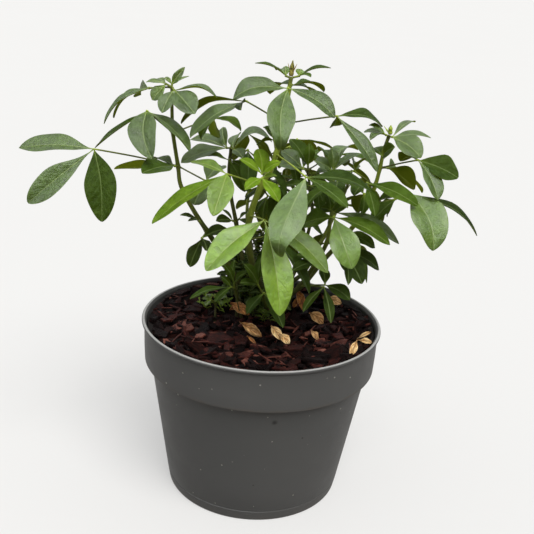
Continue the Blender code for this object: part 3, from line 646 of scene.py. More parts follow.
def dust_group():
    """Fine specks from 0 to 1: their spacing is in millimetres and their amount a share of the places."""
    nodes, given, end = new_group("dust_specks", {"Spacing": 4.0, "Amount": 0.3, "Radius": 0.2}, ["Mask"])
    scale = nodes.maths("DIVIDE", 1.0 / MM, given["Spacing"])
    cells = nodes.put("TexVoronoi", {"Vector": nodes.place(), "Scale": scale}).outputs
    near = nodes.maths("LESS_THAN", cells["Distance"], given["Radius"])
    chosen = nodes.put("SeparateColor", {0: cells["Color"]}).outputs
    kept = nodes.maths("LESS_THAN", chosen[0], given["Amount"])
    nodes.feed(end, {"Mask": nodes.times(nodes.times(near, kept), chosen[1])})
    return nodes.tree


def grain_group():
    """Long uneven ridges along the piece, for bark, wood and dry leaves."""
    nodes, given, end = new_group("long_grain", {"Width": 1.0, "Stretch": 6.0}, ["Value"])
    across = nodes.maths("DIVIDE", 1.0, given["Width"])
    along = nodes.maths("DIVIDE", across, given["Stretch"])
    scale = nodes.put("CombineXYZ", {0: across, 1: along, 2: 1.0}).outputs[0]
    lie = nodes.put("UVMap", uv_map="lie").outputs[0]
    ridges = nodes.uneven(nodes.vectors("MULTIPLY", lie, scale)[0], 1.0, 6.0, 0.65)
    nodes.feed(end, {"Value": ridges})
    return nodes.tree


def vein_group():
    """The midrib, the side veins and the margin of a blade, read from its two maps. One goes across from 0 to
    1 and along in turns of the side veins, the other is in millimetres from the rib and the base."""
    outputs = ["Midrib", "Veins", "Margin", "Height"]
    nodes, given, end = new_group("leaf_veins", {"Rib": 0.5, "Slant": 2.2, "Line": 0.1}, outputs)
    across, along = nodes.split(nodes.put("UVMap", uv_map="blade").outputs[0])[:2]
    from_rib, from_base = nodes.split(nodes.put("UVMap", uv_map="lie").outputs[0])[:2]
    aside = nodes.times(nodes.maths("ABSOLUTE", nodes.maths("SUBTRACT", across, 0.5)), 2.0)
    thick = nodes.times(given["Rib"], nodes.ranged(from_base, 0.0, 60.0, 1.3, 0.5))
    off_rib = nodes.maths("DIVIDE", nodes.maths("ABSOLUTE", from_rib), thick)
    midrib = nodes.ranged(off_rib, 0.35, 1.0, 1.0, 0.0)
    turns = nodes.maths("SUBTRACT", along, nodes.times(aside, given["Slant"]))
    turns = nodes.summed(nodes.uneven(nodes.place(), 160.0, 2.0), 0.7, turns)
    turns = nodes.summed(across, 0.35, turns)
    line = nodes.ranged(nodes.maths("PINGPONG", turns, 0.5), 0.0, given["Line"], 1.0, 0.0)
    veins = nodes.times(line, nodes.ranged(aside, 0.55, 0.98, 1.0, 0.0))
    margin = nodes.ranged(aside, 0.9, 1.0)
    height = nodes.summed(midrib, 1.5, veins)
    nodes.feed(end, {"Midrib": midrib, "Veins": veins, "Margin": margin, "Height": height})
    return nodes.tree


# Materials

# Small dark marks below the pot's ledge: where each is and how far it reaches, in metres
MOULD_MARKS = (((0.0143, -0.0845, 0.0966), 0.0022), ((0.0143, -0.0868, 0.1055), 0.0014))


def leaf_upper_material(name, sheen, coat, rib, through):
    """Dark green, fresher on young leaves, with a painted sheen in pale patches, a pale rib and hardly any
    side veins. Leaves in the open have more sheen and coat, and a paler rib, than shaded ones."""
    skin = Paint(name, specular_ior_level=sheen, coat_roughness=0.3)
    veins = skin.veins(0.6, 2.4, 0.2)
    broad, patches, fine = skin.cloud(12.0, 2.0), skin.cloud(4.5, 2.2), skin.cloud(1.4, 1.2)
    fresh, tone = skin.carried("fresh"), skin.carried("tone")
    grown = skin.mixed(broad, (0.022, 0.054, 0.006), (0.068, 0.124, 0.02))
    young = skin.mixed(broad, (0.11, 0.23, 0.006), (0.28, 0.45, 0.028))
    skin.base = skin.mixed(fresh, grown, young)
    # tone: the leaflet's own lightness together with painted shade deep in the plant and painted light in the
    # open
    mottled = skin.ranged(patches, 0.15, 0.85, 0.74, 1.22)
    skin.lighten(skin.times(skin.ranged(tone, 0.0, 1.0, 0.2, 1.85), mottled))
    # Painted sheen: in patches the base is blended towards a pale grey-green, standing in for the bright sky
    # mirrored in the leaf
    painted_sheen = skin.mixed(0.5, skin.base, (0.22, 0.3, 0.15))
    skin.over(skin.ranged(patches, 0.5, 0.9), 0.7 * sheen + 0.06, painted_sheen)
    skin.over(veins["Margin"], 0.3, (0.13, 0.2, 0.03))
    vein_colour = skin.mixed(fresh, (0.17, 0.28, 0.08), (0.07, 0.15, 0.012))
    skin.over(veins["Veins"], skin.ranged(fresh, 0.0, 0.7, 0.07, 0.3), vein_colour)
    skin.over(veins["Midrib"], rib, skin.mixed(fresh, (0.22, 0.3, 0.11), (0.4, 0.52, 0.1)))
    skin.over(skin.dust(5.0, 0.2, 0.1), 0.4, (0.35, 0.36, 0.28))
    height = skin.summed(fine, 0.12, skin.times(veins["Height"], -0.18))
    if coat:
        skin.feed(skin.shader, {"Coat Weight": skin.ranged(tone, 0.4, 1.0, 0.1 * coat, coat)})
    skin.let_light_through(through, (0.5, 0.62, 0.06), (0.9, 1.0, 0.08))
    return skin.finished(skin.ranged(patches, 0.0, 1.0, 0.26, 0.5), skin.summed(patches, 1.3, height), 0.55)


def leaf_under_material():
    """The duller, yellower underside, with a raised rib."""
    skin = Paint("leaf_under", specular_ior_level=0.12)
    veins = skin.veins(0.9, 2.4, 0.2)
    patches = skin.cloud(7.0, 1.5)
    grown = skin.mixed(patches, (0.048, 0.062, 0.005), (0.078, 0.092, 0.01))
    young = skin.mixed(patches, (0.15, 0.19, 0.01), (0.2, 0.24, 0.018))
    skin.base = skin.mixed(skin.carried("fresh"), grown, young)
    # tone: the leaflet's own lightness together with painted shade or painted light
    skin.lighten(skin.ranged(skin.carried("tone"), 0.0, 1.0, 0.5, 1.7))
    skin.over(veins["Veins"], 0.15, (0.15, 0.2, 0.04))
    skin.over(veins["Midrib"], 0.6, (0.24, 0.3, 0.08))
    skin.let_light_through(0.5, (0.9, 0.95, 0.3), (1.0, 1.0, 0.4))
    height = skin.summed(patches, 0.4, veins["Height"])
    return skin.finished(skin.ranged(patches, 0.0, 1.0, 0.5, 0.68), height, 0.22)


def green_wood_material():
    """Stems and leaf stalks: olive brown low down, green above and yellow-green where they are young."""
    rind = Paint("green_wood", specular_ior_level=0.35)
    grain, patches, fresh = rind.grain(0.35, 9.0), rind.cloud(5.0, 1.8), rind.carried("fresh")
    old = rind.mixed(grain, (0.018, 0.018, 0.004), (0.075, 0.072, 0.02))
    grown = rind.mixed(patches, (0.07, 0.086, 0.008), (0.13, 0.155, 0.02))
    young = rind.mixed(patches, (0.3, 0.4, 0.026), (0.42, 0.52, 0.07))
    rind.base = rind.mixed(rind.ranged(fresh, 0.0, 0.35), old, grown)
    rind.over(rind.ranged(fresh, 0.45, 1.0), 1.0, young)
    pores = rind.dust(2.2, 0.4, 0.22)
    rind.over(pores, 0.35, (0.22, 0.2, 0.11))
    return rind.finished(rind.ranged(fresh, 0.0, 1.0, 0.72, 0.42), rind.maths("ADD", grain, pores), 0.25)


def bud_material():
    """Bud scales, olive brown and ochre in patches, with a pink flush low down."""
    scale = Paint("bud_scales", specular_ior_level=0.3)
    grain = scale.grain(0.12, 8.0)
    scale.base = scale.mixed(scale.cloud(1.4, 3.5), (0.05, 0.036, 0.01), (0.32, 0.3, 0.04))
    scale.over(scale.ranged(scale.carried("tone"), 0.6, 1.0), 0.35, (0.42, 0.2, 0.09))
    return scale.finished(scale.ranged(grain, 0.0, 1.0, 0.45, 0.7), grain, 0.15)


def bark_material():
    """Pine bark: nearly black flakes with red-brown ones and a few pinker, with a layered grain."""
    bark = Paint("pine_bark", specular_ior_level=0.06, coat_roughness=0.3)
    grain, fine = bark.ranged(bark.grain(1.1, 5.0), 0.34, 0.72), bark.grain(0.3, 3.0)
    patches, tone = bark.cloud(6.0, 3.0), bark.carried("tone")
    dark = bark.mixed(grain, (0.0008, 0.0004, 0.0004), (0.01, 0.0035, 0.003))
    brown = bark.mixed(grain, (0.006, 0.0012, 0.001), (0.15, 0.034, 0.025))
    pink = bark.mixed(grain, (0.06, 0.014, 0.011), (0.56, 0.22, 0.16))
    bark.base = bark.mixed(bark.ranged(tone, 0.1, 0.55), dark, brown)
    bark.over(bark.ranged(tone, 0.6, 1.0), 1.0, pink)
    bark.over(patches, bark.ranged(tone, 0.5, 1.0, 0.8, 0.25), (0.003, 0.0015, 0.0015))
    glints = bark.times(bark.ranged(fine, 0.5, 0.62), bark.ranged(tone, 0.2, 0.5, 0.02, 0.3))
    bark.feed(bark.shader, {"Coat Weight": glints})
    return bark.finished(bark.ranged(fine, 0.2, 0.8, 0.35, 0.75), bark.summed(fine, 0.6, grain), 1.3)


def soil_material():
    """Dark peaty compost with crumbs and a few pale grains."""
    soil = Paint("peaty_compost", specular_ior_level=0.2)
    patches, fine = soil.cloud(3.0, 2.0), soil.cloud(0.8, 1.8)
    soil.base = soil.mixed(patches, (0.0015, 0.0011, 0.0009), (0.011, 0.0065, 0.005))
    soil.over(soil.dust(3.0, 0.12, 0.2), 1.0, (0.25, 0.2, 0.14))
    return soil.finished(soil.ranged(fine, 0.0, 1.0, 0.8, 1.0), soil.summed(fine, 0.5, patches), 1.2)


def dry_leaf_material():
    """Papery tan, browner in patches, paler along the edge, with darker veins."""
    dry = Paint("dry_leaf", specular_ior_level=0.3)
    veins = dry.veins(0.45, 1.8, 0.3)
    patches, fine = dry.cloud(3.0, 2.8), dry.cloud(0.7, 1.5)
    pale = dry.mixed(patches, (0.55, 0.27, 0.07), (0.92, 0.7, 0.36))
    brown = dry.mixed(patches, (0.14, 0.045, 0.014), (0.7, 0.28, 0.07))
    dry.base = dry.mixed(dry.ranged(dry.carried("tone"), 0.2, 0.7), brown, pale)
    dry.over(veins["Margin"], 0.5, (0.9, 0.7, 0.42))
    dry.over(veins["Veins"], 0.7, (0.14, 0.05, 0.016))
    dry.over(veins["Midrib"], 0.6, (0.16, 0.065, 0.025))
    height = dry.summed(fine, 0.5, veins["Height"])
    return dry.finished(dry.ranged(patches, 0.0, 1.0, 0.6, 0.85), height, 0.3)


def pot_material():
    """Moulded grey polypropylene: a satin skin, faint flow marks, pale specks, soil dust by the ledge and a
    painted highlight along the top of the lip.
    """
    pot = Paint("grey_plastic", specular_ior_level=0.3)
    flow, skin, smears = pot.cloud(60.0, 1.2), pot.cloud(0.6, 1.2), pot.cloud(16.0, 2.6)
    place = pot.place()
    height = pot.split(place)[2]
    shoulder = (POT_HEIGHT - BAND_DEPTH) * MM
    pot.base = pot.mixed(flow, (0.074, 0.075, 0.074), (0.088, 0.087, 0.084))
    under_ledge = pot.ranged(height, shoulder - 7 * MM, shoulder + 1 * MM)
    on_ledge = pot.ranged(height, shoulder + 1 * MM, shoulder + 3 * MM, 1.0, 0.0)
    pot.over(pot.times(pot.times(under_ledge, on_ledge), smears), 0.4, (0.1, 0.075, 0.05))
    foot_dust = pot.times(pot.ranged(height, 0.0, 10 * MM, 1.0, 0.0), smears)
    pot.over(foot_dust, 0.25, (0.13, 0.105, 0.08))
    pot.over(pot.dust(9.0, 0.9, 0.07), 1.0, (0.42, 0.4, 0.35))
    pot.over(pot.dust(12.0, 0.5, 0.06), 1.0, (0.016, 0.014, 0.012))
    # A painted highlight: a pale line along the top of the lip, where the sky would shine on its bead
    painted_highlight = pot.ranged(pot.carried("tone"), 0.5, 1.0)
    pot.over(painted_highlight, 1.0, (0.34, 0.34, 0.33))
    for spot, reach in MOULD_MARKS:
        away = pot.summed(smears, reach, pot.vectors("DISTANCE", place, spot)["Value"])
        pot.over(pot.ranged(away, 0.7 * reach, 1.6 * reach, 0.85, 0.0), 1.0, (0.012, 0.011, 0.01))
    return pot.finished(pot.ranged(smears, 0.0, 1.0, 0.44, 0.54), pot.summed(flow, 0.3, skin), 0.04)


def floor_material():
    """A plain pale floor with hardly any grain. It is bright to the camera, but throws little light back up,
    as dull cloth would."""
    floor = Paint("pale_floor", specular_ior_level=0.0)
    patches = floor.cloud(900.0, 0.3)
    path = floor.put("LightPath").outputs
    pale = floor.mixed(patches, (0.37, 0.368, 0.362), (0.4, 0.398, 0.392))
    floor.base = floor.mixed(path["Is Camera Ray"], (0.2, 0.19, 0.175), pale)
    glow = floor.mixed(patches, (0.93, 0.925, 0.915), (0.96, 0.955, 0.945))
    mirrored = floor.times(path["Is Glossy Ray"], FLOOR_MIRRORED)
    strength = floor.summed(path["Is Camera Ray"], FLOOR_GLOW, mirrored)
    floor.feed(floor.shader, {"Emission Color": glow, "Emission Strength": strength})
    return floor.finished(floor.ranged(patches, 0.0, 1.0, 0.85, 0.95), patches, 0.1)


# Meshes

# The materials of a leafy piece, in their order
OPEN_LEAF, UNDERSIDE, GREEN_WOOD, BUD_SCALES, SHADED_LEAF = range(5)


def on_the_rib(r, k):
    """The point on the blade map for whatever isn't a blade."""
    return 0.5, 0.0


class Gathered:
    """Rings of points gathered into one closed mesh, with the values that the materials read."""

    def __init__(self):
        self.points = []
        self.faces = []
        self.slots = []
        self.maps = {"blade": [], "lie": []}
        self.values = {"fresh": [], "tone": []}

    def loft(self, rings, lie, slots=(0,), fresh=0.0, tone=0.5, blade=on_the_rib):
        """Joins rings of like count into a tube with two caps. lie and blade give each point's two maps,
        slots each side face's material, and fresh and tone one value, or one for each ring."""
        first = len(self.points)
        count = len(rings[0])
        for r, ring in enumerate(rings):
            for k, point in enumerate(ring):
                self.points.append(point * MM)
                self.maps["blade"].append(blade(r, k))
                self.maps["lie"].append(lie(r, k))
            for name, value in (("fresh", fresh), ("tone", tone)):
                self.values[name].extend([value[r] if isinstance(value, list) else value] * count)
        for r in range(len(rings) - 1):
            for k in range(count):
                a = first + r * count + k
                b = first + r * count + (k + 1) % count
                self.faces.append((a, b, b + count, a + count))
                self.slots.append(slots[k % len(slots)])
        last = first + (len(rings) - 1) * count
        self.faces.append(tuple(range(first + count - 1, first - 1, -1)))
        self.faces.append(tuple(range(last, last + count)))
        self.slots.extend([slots[0], slots[0]])

    def piece(self, name, materials, nodes=(), sharp=50):
        """Makes the object, which rides on the pot and stands for the nodes named."""
        mesh = bpy.data.meshes.new(name)
        mesh.from_pydata(self.points, [], self.faces)
        for title, marks in self.maps.items():
            layer = mesh.uv_layers.new(name=title)
            flat = [value for loop in mesh.loops for value in marks[loop.vertex_index]]
            layer.uv.foreach_set("vector", flat)
        for title, marks in self.values.items():
            mesh.attributes.new(title, "FLOAT", "POINT").data.foreach_set("value", marks)
        mesh.polygons.foreach_set("material_index", self.slots)
        for material in materials:
            mesh.materials.append(material)
        mesh.validate()
        mesh.shade_smooth()
        mesh.set_sharp_from_angle(angle=math.radians(sharp))
        obj = linked(name, mesh)
        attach(obj, "root")
        if nodes:
            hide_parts(*nodes)
        return obj


# Blades


def half_width(t, widest):
    """The blade's half width at t along it, as a share of its greatest: drawn out at the base, blunt at the
    tip."""
    swell = math.sin(math.pi * t ** (math.log(0.5) / math.log(widest)))
    return swell ** (BASE_TAPER if t < widest else TIP_TAPER)


def facing(base, tip, turn):
    """The way the upper face looks: at the viewer, turned by turn degrees towards the sky."""
    along = (tip - base).normalized()
    middle = (base + tip) / 2
    to_eye = (EYE - middle).normalized()
    at_eye = (to_eye - along * to_eye.dot(along)).normalized()
    outward = Vector((middle.x, middle.y, 0)).normalized() * 0.4 + Vector((0, 0, 1))
    skyward = outward - along * outward.dot(along) - at_eye * outward.dot(at_eye)
    skyward.normalize()
    angle = math.radians(turn)
    return at_eye * math.cos(angle) + skyward * math.sin(angle)


def leaflet_blade(base, leaflet):
    tip = seen(leaflet.across, leaflet.down, leaflet.near)
    return Blade(base, tip, leaflet.width, facing(base, tip, leaflet.turn), leaflet.bow, leaflet.widest)


# How far each row of points lies from the rib, as a share of the half width, for tiny, small and large blades
TINY_ROWS = (0.0, 0.55, 1.0)
SMALL_ROWS = (0.0, 0.12, 0.45, 0.8, 1.0)
LARGE_ROWS = (0.0, 0.06, 0.2, 0.4, 0.6, 0.8, 0.93, 1.0)
# Blades narrower than the first width are tiny, and those from the second width on are large
TINY_BLADE = 4.5
LARGE_BLADE = 12.0
# How far along a rolled end starts
ROLL_START = 0.78
# How steeply the halves rise from the rib, and how much of that the margin loses again
HALF_RISE = 0.43
MARGIN_FALL = 0.13
BLADE_HALF_THICKNESS = 0.17
RIB_WIDTH = 0.6
VEIN_SPACING = 6.0
# How far the fresh green of a blade's base reaches
FRESH_BASE = 3.5


def blade_ring(middle, side, up, half, spots, lift, thickness, ridge):
    """One closed ring across a blade: over its upper face from margin to margin and back below."""
    upper, lower = [], []
    for u in spots:
        place = middle + side * (u * half) + up * lift(u)
        body = thickness * (1 - u**4)
        upper.append(place + up * body)
        lower.append(place - up * (body + ridge * bell(u * half, RIB_WIDTH)))
    return upper + lower[-2:0:-1]


def rows_and_steps(width, length):
    """How finely a blade is made: its rows from the rib to the margin, and its steps along."""
    if width >= LARGE_BLADE:
        return LARGE_ROWS, max(8, min(30, int(length / 1.9)))
    if width < TINY_BLADE:
        return TINY_ROWS, 6
    return SMALL_ROWS, max(7, min(16, int(length / 2.6)))


def add_blade(
    gathered, blade, dice, fresh=0.0, tone=0.5, hook=1.0, roll=0, sideways=None, fold=1.0, crumple=0.0,
    thickness=BLADE_HALF_THICKNESS, upper_slot=OPEN_LEAF, lower_slot=UNDERSIDE,
):
    """A leaflet: folded along its rib and arched, its halves domed, its margin gently waved, and its end
    rolled under by roll degrees."""
    shown = (blade.tip - blade.base).length
    along = (blade.tip - blade.base) / shown
    rolled = math.radians(roll)
    straight = shown * ROLL_START
    if roll > 90:
        straight = shown / (ROLL_START + (1 - ROLL_START) / rolled) * ROLL_START
    length = straight / ROLL_START
    up = (blade.up - along * blade.up.dot(along)).normalized()
    side = along.cross(up)
    large = blade.width >= LARGE_BLADE
    rows, steps = rows_and_steps(blade.width, length)
    spots = [-u for u in rows[::-1]] + list(rows[1:])
    sway = dice.uniform(-0.025, 0.025) * length
    if sideways is not None:
        sway = sideways * length
    twist = math.radians(dice.uniform(-10, 10))
    phase = dice.uniform(0, 2 * math.pi)
    waves = dice.uniform(1.5, 2.6)
    wave = dice.uniform(0.012, 0.04) * blade.width * (1 + 5 * crumple)
    pucker = 0.13 + 0.16 * fresh if large else 0.0
    veins = max(3.0, length / VEIN_SPACING)

    def rib(t):
        rise = blade.bow * length * math.sin(math.pi * t**hook)
        reach = length * t
        if roll and t > ROLL_START:
            turned = rolled * (t - ROLL_START) / (1 - ROLL_START)
            bend = length * (1 - ROLL_START) / rolled
            reach = straight + bend * math.sin(turned)
            rise -= bend * (1 - math.cos(turned))
        return blade.base + along * reach + up * rise + side * (sway * math.sin(math.pi * t))

    rings, shares, halves = [], [], []
    for i in range(steps + 1):
        t = (1 - math.cos(math.pi * i / steps)) / 2
        t = 0.004 + 0.993 * (0.35 * t + 0.65 * i / steps)
        shares.append(t)
        ahead = (rib(min(t + 0.01, 1.0)) - rib(max(t - 0.01, 0.0))).normalized()
        turn = Matrix.Rotation(twist * (t - 0.3), 3, ahead)
        level = turn @ side
        level = (level - ahead * level.dot(ahead)).normalized()
        above = level.cross(ahead)
        narrowed = 1 - 0.32 * clamped((t - 0.6) / 0.25) if roll else 1.0
        half = max(blade.width / 2 * half_width(t, blade.widest) * narrowed, 0.55 * (1 - t) ** 6, 0.04)
        halves.append(half)

        def lift(u):
            aside = abs(u)
            ruffle = wave * aside**2 * math.sin(2 * math.pi * waves * t + phase + (1.3 if u > 0 else 0.0))
            ripple = pucker * math.sin(2 * math.pi * (veins * t - 1.2 * aside)) * aside * (1 - aside) * 2
            crease = crumple * blade.width * 0.5 * noise.noise(Vector((u * 1.7, t * 3.1, phase * 9)))
            valley = fold * half * (HALF_RISE * aside - MARGIN_FALL * aside**3)
            return valley + (ruffle + ripple) * min(1, 4 * t) + crease

        ridge = 0.32 * (1 - 0.8 * t) if large else 0.12
        rings.append(blade_ring(rib(t), level, above, half, spots, lift, thickness, ridge))

    around = spots + spots[-2:0:-1]
    face = len(spots) - 1
    gathered.loft(
        rings,
        lambda r, k: (around[k] * halves[r], shares[r] * length),
        [upper_slot] * face + [lower_slot] * face,
        [min(1.0, fresh + 0.7 * bell(t * length, FRESH_BASE)) for t in shares],
        # A rolled end gets painted shade: its tone falls to a fifth of the leaflet's
        [tone * (1 - 0.8 * clamped((t - ROLL_START) / 0.1)) if roll else tone for t in shares],
        lambda r, k: (0.5 + around[k] / 2, shares[r] * veins),
    )


# Stalks and stems


def smooth_course(points, steps):
    """Points on a smooth curve through a course's own points, and each one's share of the way."""
    curve, shares = [], []
    last = len(points) - 1
    for i in range(last):
        before, start = points[max(i - 1, 0)], points[i]
        end, after = points[i + 1], points[min(i + 2, last)]
        for k in range(steps):
            t = k / steps
            curve.append(
                0.5 * (
                    2 * start + (end - before) * t
                    + (2 * before - 5 * start + 4 * end - after) * t**2
                    + (3 * start - before - 3 * end + after) * t**3
                )
            )
            shares.append((i + t) / last)
    return curve + [points[-1]], shares + [1.0]


def add_tube(gathered, points, radii, sides, slot=GREEN_WOOD, fresh=0.5, tone=0.5):
    """A tapered tube along points, its rings kept from twisting."""
    rings, reach = [], [0.0]
    turns = full_turn(sides)
    across = None
    for i, point in enumerate(points):
        ahead = (points[min(i + 1, len(points) - 1)] - points[max(i - 1, 0)]).normalized()
        across = ahead.orthogonal() if across is None else across
        across = (across - ahead * across.dot(ahead)).normalized()
        other = ahead.cross(across)
        rings.append([point + (across * math.cos(a) + other * math.sin(a)) * radii[i] for a in turns])
        if i:
            reach.append(reach[-1] + (point - points[i - 1]).length)

    def lie_mark(r, k):
        round_way = 2 * math.pi * radii[r] * min(k, sides - k) / sides
        return round_way, reach[r]

    gathered.loft(rings, lie_mark, [slot], fresh, tone)


def add_stalk(gathered, root, joint, fresh):
    """A leaf stalk, thicker where it leaves the stem and in a small knuckle where the leaflets meet."""
    reach = (joint - root).length
    size = min(1.0, reach / 16)
    middle = (root + joint) / 2 + Vector((0, 0, 0.01 * reach if reach >= 30 else 0))
    ahead = (joint - middle).normalized()
    points, shares = smooth_course([root, middle, joint + ahead * 0.9], 8)
    radii = []
    for t in shares:
        knuckle = 0.7 * size * bell((1 - t) * reach, 2.0)
        foot = 0.8 * size * bell(t * reach, 3.0)
        end = 0.35 if t == 1.0 else 1.0
        radii.append((PETIOLE_RADIUS * (0.75 + 0.1 * t) + knuckle + foot) * end)
    tints = [min(1.0, fresh + 0.28 + 0.75 * size * bell((1 - t) * reach, 6.0)) for t in shares]
    add_tube(gathered, points, radii, 8, fresh=tints)


def stem_points(stem):
    """The stem's course, from its buried end straight up past the mulch and on through its path."""
    foot = Vector((stem.foot[0], -stem.foot[1], 0))
    buried = [foot + Vector((0, 0, BED_TOP - stem.rooted)), foot + Vector((0, 0, HOLE_TOP + 1.0))]
    return buried + [seen(*point) for point in stem.path]


def add_wood(gathered, stem, green, dice):
    """The stem's wood, tapered, a little thicker at each pair of leaves, browner towards its foot and as
    green as asked towards its tip."""
    own = stem_points(stem)
    points, shares = smooth_course(own, 7)
    last = len(own) - 1
    foot, tip = stem.radii
    knots = {leaf.grows_at + 2 for leaf in stem.leaves.values()}
    radii, tints = [], []
    for point, share in zip(points, shares):
        way = share * last
        plain = foot + (tip - foot) * max(way - 1, 0) / (last - 1)
        swelling = sum(0.22 * plain * bell((point - own[k]).length, 2.6) for k in knots)
        lump = 0.06 * plain * noise.noise(point * 0.22)
        radii.append(plain * 0.94 + swelling + lump)
        aged = 1 - 0.6 * clamped(way - last + 1.3)
        grown = clamped(2.2 * (way - 1.2) / (last - 1)) * aged
        tints.append(grown * green + dice.uniform(0.0, 0.03))
    add_tube(gathered, points, radii, 12, fresh=tints)


def add_buds(gathered, joint, leaf, slot):
    """A closed bud, a column that narrows to its tip, with thin scales that stand off it."""
    shares = [k / 12 for k in range(13)]
    for i, scale in enumerate(leaf.leaflets):
        span = seen(scale.across, scale.down, scale.near) - joint
        full = scale.width * (0.36 if i == 0 else 0.13)
        swell = [min(1.0, 0.75 + t) * (1 - t**2.5) ** 0.7 for t in shares]
        lumps = [1 + 0.16 * math.sin(13 * t + 2 * i) for t in shares]
        add_tube(
            gathered,
            [joint + span * t for t in shares],
            [max(0.15, full * s * lump) for s, lump in zip(swell, lumps)],
            9,
            slot=slot,
            fresh=1.0,
            tone=[0.9 - 0.6 * t for t in shares] if i == 0 else 1.0,
        )


# The leaves at the back


def hidden_leaf(stem, dice):
    """One leaf at the back by the rule: its root on the stem, its joint, and three blades."""
    root = seen(*stem.path[dice.randrange(1, len(stem.path))])
    bearing = math.radians(dice.uniform(-HIDDEN_TURN, HIDDEN_TURN))
    out = Vector((math.sin(bearing), math.cos(bearing), 0))
    joint = root + out * dice.uniform(*HIDDEN_REACH) + Vector((0, 0, dice.uniform(4, 16)))
    blades = []
    for swing in (-HIDDEN_SPREAD, 0, HIDDEN_SPREAD):
        spread = Matrix.Rotation(math.radians(swing + dice.uniform(-12, 12)), 3, "Z")
        heading = (spread @ out - Vector((0, 0, dice.uniform(*HIDDEN_DROOP)))).normalized()
        length = dice.uniform(*HIDDEN_LENGTH) * (1.0 if swing == 0 else 0.85)
        up = Vector((0, 0, 1)) + out * dice.uniform(0.0, 0.3)
        bow = dice.uniform(0.06, 0.13)
        blades.append(Blade(joint, joint + heading * length, length * HIDDEN_WIDTH, up, bow))
    return root, joint, blades


def inside_hidden_area(point):
    across, down = shown_at(point)
    return any(x0 <= across <= x1 and y0 <= down <= y1 for x0, y0, x1, y1 in HIDDEN_AREA)


def hidden_leaves(stem):
    """The stem's leaves at the back, drawn until there are enough that the front leaves hide."""
    dice = random.Random(stem.seed)
    leaves = []
    while len(leaves) < stem.hidden:
        root, joint, blades = hidden_leaf(stem, dice)
        if all(inside_hidden_area(point) for blade in blades for point in (joint, blade.tip)):
            leaves.append((root, joint, blades))
    return leaves


# Stems with their leaves

# How fresh a leaf's green is, or that of each of its leaflets, from 0 for dark full-grown leaves to 1 for the
# youngest, where it isn't the usual
FRESHNESS = {
    "lime_upper": 0.86, "lime_lower": 0.82, "front_left": 0.55, "low_front": (0.56, 0.66, 0.48),
    "broad_front": (0.26, 0.3, 0.2), "broad_right": (0.18, 0.0, 0.1), "low_fan": 0.0,
    "crown_left": 0.15, "crown_right": 0.15, "left_tip_small": 0.12, "left_tip_shoot": 0.12,
    "tip_right": 0.1, "upright": 0.15, "fallen_shoot_in": 0.1,
    "olive": 0.25, "middle_left": (0.05, 0.75, 0.1), "high_left_behind": 0.3, "mid_front": (0.24, 0.12, 0.1),
}
# How light a leaf is, or each of its leaflets, from 0 to 1, where it isn't halfway: partly its own colour,
# partly painted shade on leaves deep in the plant and painted light on those in the open
LIGHTNESS = {
    "far_left": (0.46, 0.5, 0.28), "high_left": (0.4, 0.5, 0.47), "high_left_behind": (0.9, 0.4, 0.4),
    "middle_left": (0.36, 0.95, 0.3), "upper_left": (0.15, 0.52, 0.1), "upper_right": (0.3, 0.5, 0.2),
    "top_front": (0.46, 0.58, 0.46), "top_back": 0.2, "front": (0.82, 0.27, 0.38),
    "front_left": (0.45, 0.64, 0.5), "lime_upper": 0.45, "lime_lower": 0.43,
    "low_front": (0.93, 0.76, 0.47), "broad_front": (0.95, 0.33, 0.3), "broad_back": (0.5, 0.3, 0.35),
    "broad_right": (0.68, 0.12, 0.4), "far_right": (0.3, 0.6, 0.2), "olive": (0.75, 0.55, 0.4),
    "mid_front": (0.4, 0.4, 0.3), "crown_left": (0.25, 0.6, 0.4), "crown_right": (0.25, 0.6, 0.4),
    "low_fan": 0.1, "crown_back": (0.55, 0.3, 0.2), "below_tip": (0.4, 0.4, 0.3),
    "below": 0.3, "mid_behind": 0.25, "upright": 0.3, "low_left": 0.05, "low_left_wisp": 0.05,
    "node_left": 0.15, "node_right": 0.15, "low_behind": 0.25, "shaded": 0.35, "shaded_low": 0.3,
    "dark_fan": 0.3, "low_under": 0.3, "under_tip": 0.3, "drooping": 0.2, "narrow": 0.45, "low_inner": 0.25,
    "fallen_shoot_in": 0.15, "fallen_shoot_out": 0.2,
}
# Leaflets whose ends bend sharply down
HOOKS = {"top_front": (1.3, 1.6, 1.2), "front": (1.8, 1.2, 1.2), "broad_right": (1.6, 1.2, 1.0)}
# Leaflets whose ends roll under, by leaf and place in it, and by how many degrees
ROLLS = {("top_front", 1): 125, ("front", 0): 125}
# Leaflets that fold the other way, or less
FOLDS = {("front", 0): -0.5, ("low_front", 1): 0.85}
# Leaflets whose rib curves to one side, by what share of their length
SWAYS = {
    ("broad_right", 0): -0.09, ("front", 0): 0.022, ("far_left", 2): -0.05, ("high_left", 1): 0.08,
    ("top_front", 1): 0.075,
}
# Leaf stalks that are younger or brighter than their leaves
BRIGHT_STALKS = {"front": 0.8, "top_front": 0.5, "front_left": 0.7, "lime_upper": 0.7, "lime_lower": 0.7}
# Closed buds: the material that each has, ochre scales or fresh green
BUDS = {"crown_bud": BUD_SCALES, "tip_bud": GREEN_WOOD}
# How green a stem's wood gets towards its tip, where it isn't olive
WOOD_TIPS = {
    "centre_stem": 0.95, "front_right_stem": 0.6, "right_stem": 0.8, "left_stem": 0.5,
    "inner_left_stem": 0.15, "inner_right_stem": 0.2,
}
USUAL_FRESHNESS = 0.08
# Leaflets less light than this have the shaded leaves' material: a copy of the open leaves' one that stands
# in for shade, with less sheen, coat and light through, and a duller rib
SHADED_BELOW = 0.46
# Leaves at the back are painted dark, as in shade
BACK_LIGHTNESS = 0.3


def of_leaflet(value, i):
    """A leaf's value for one of its leaflets, where it has a value for each."""
    return value[i] if isinstance(value, tuple) else value


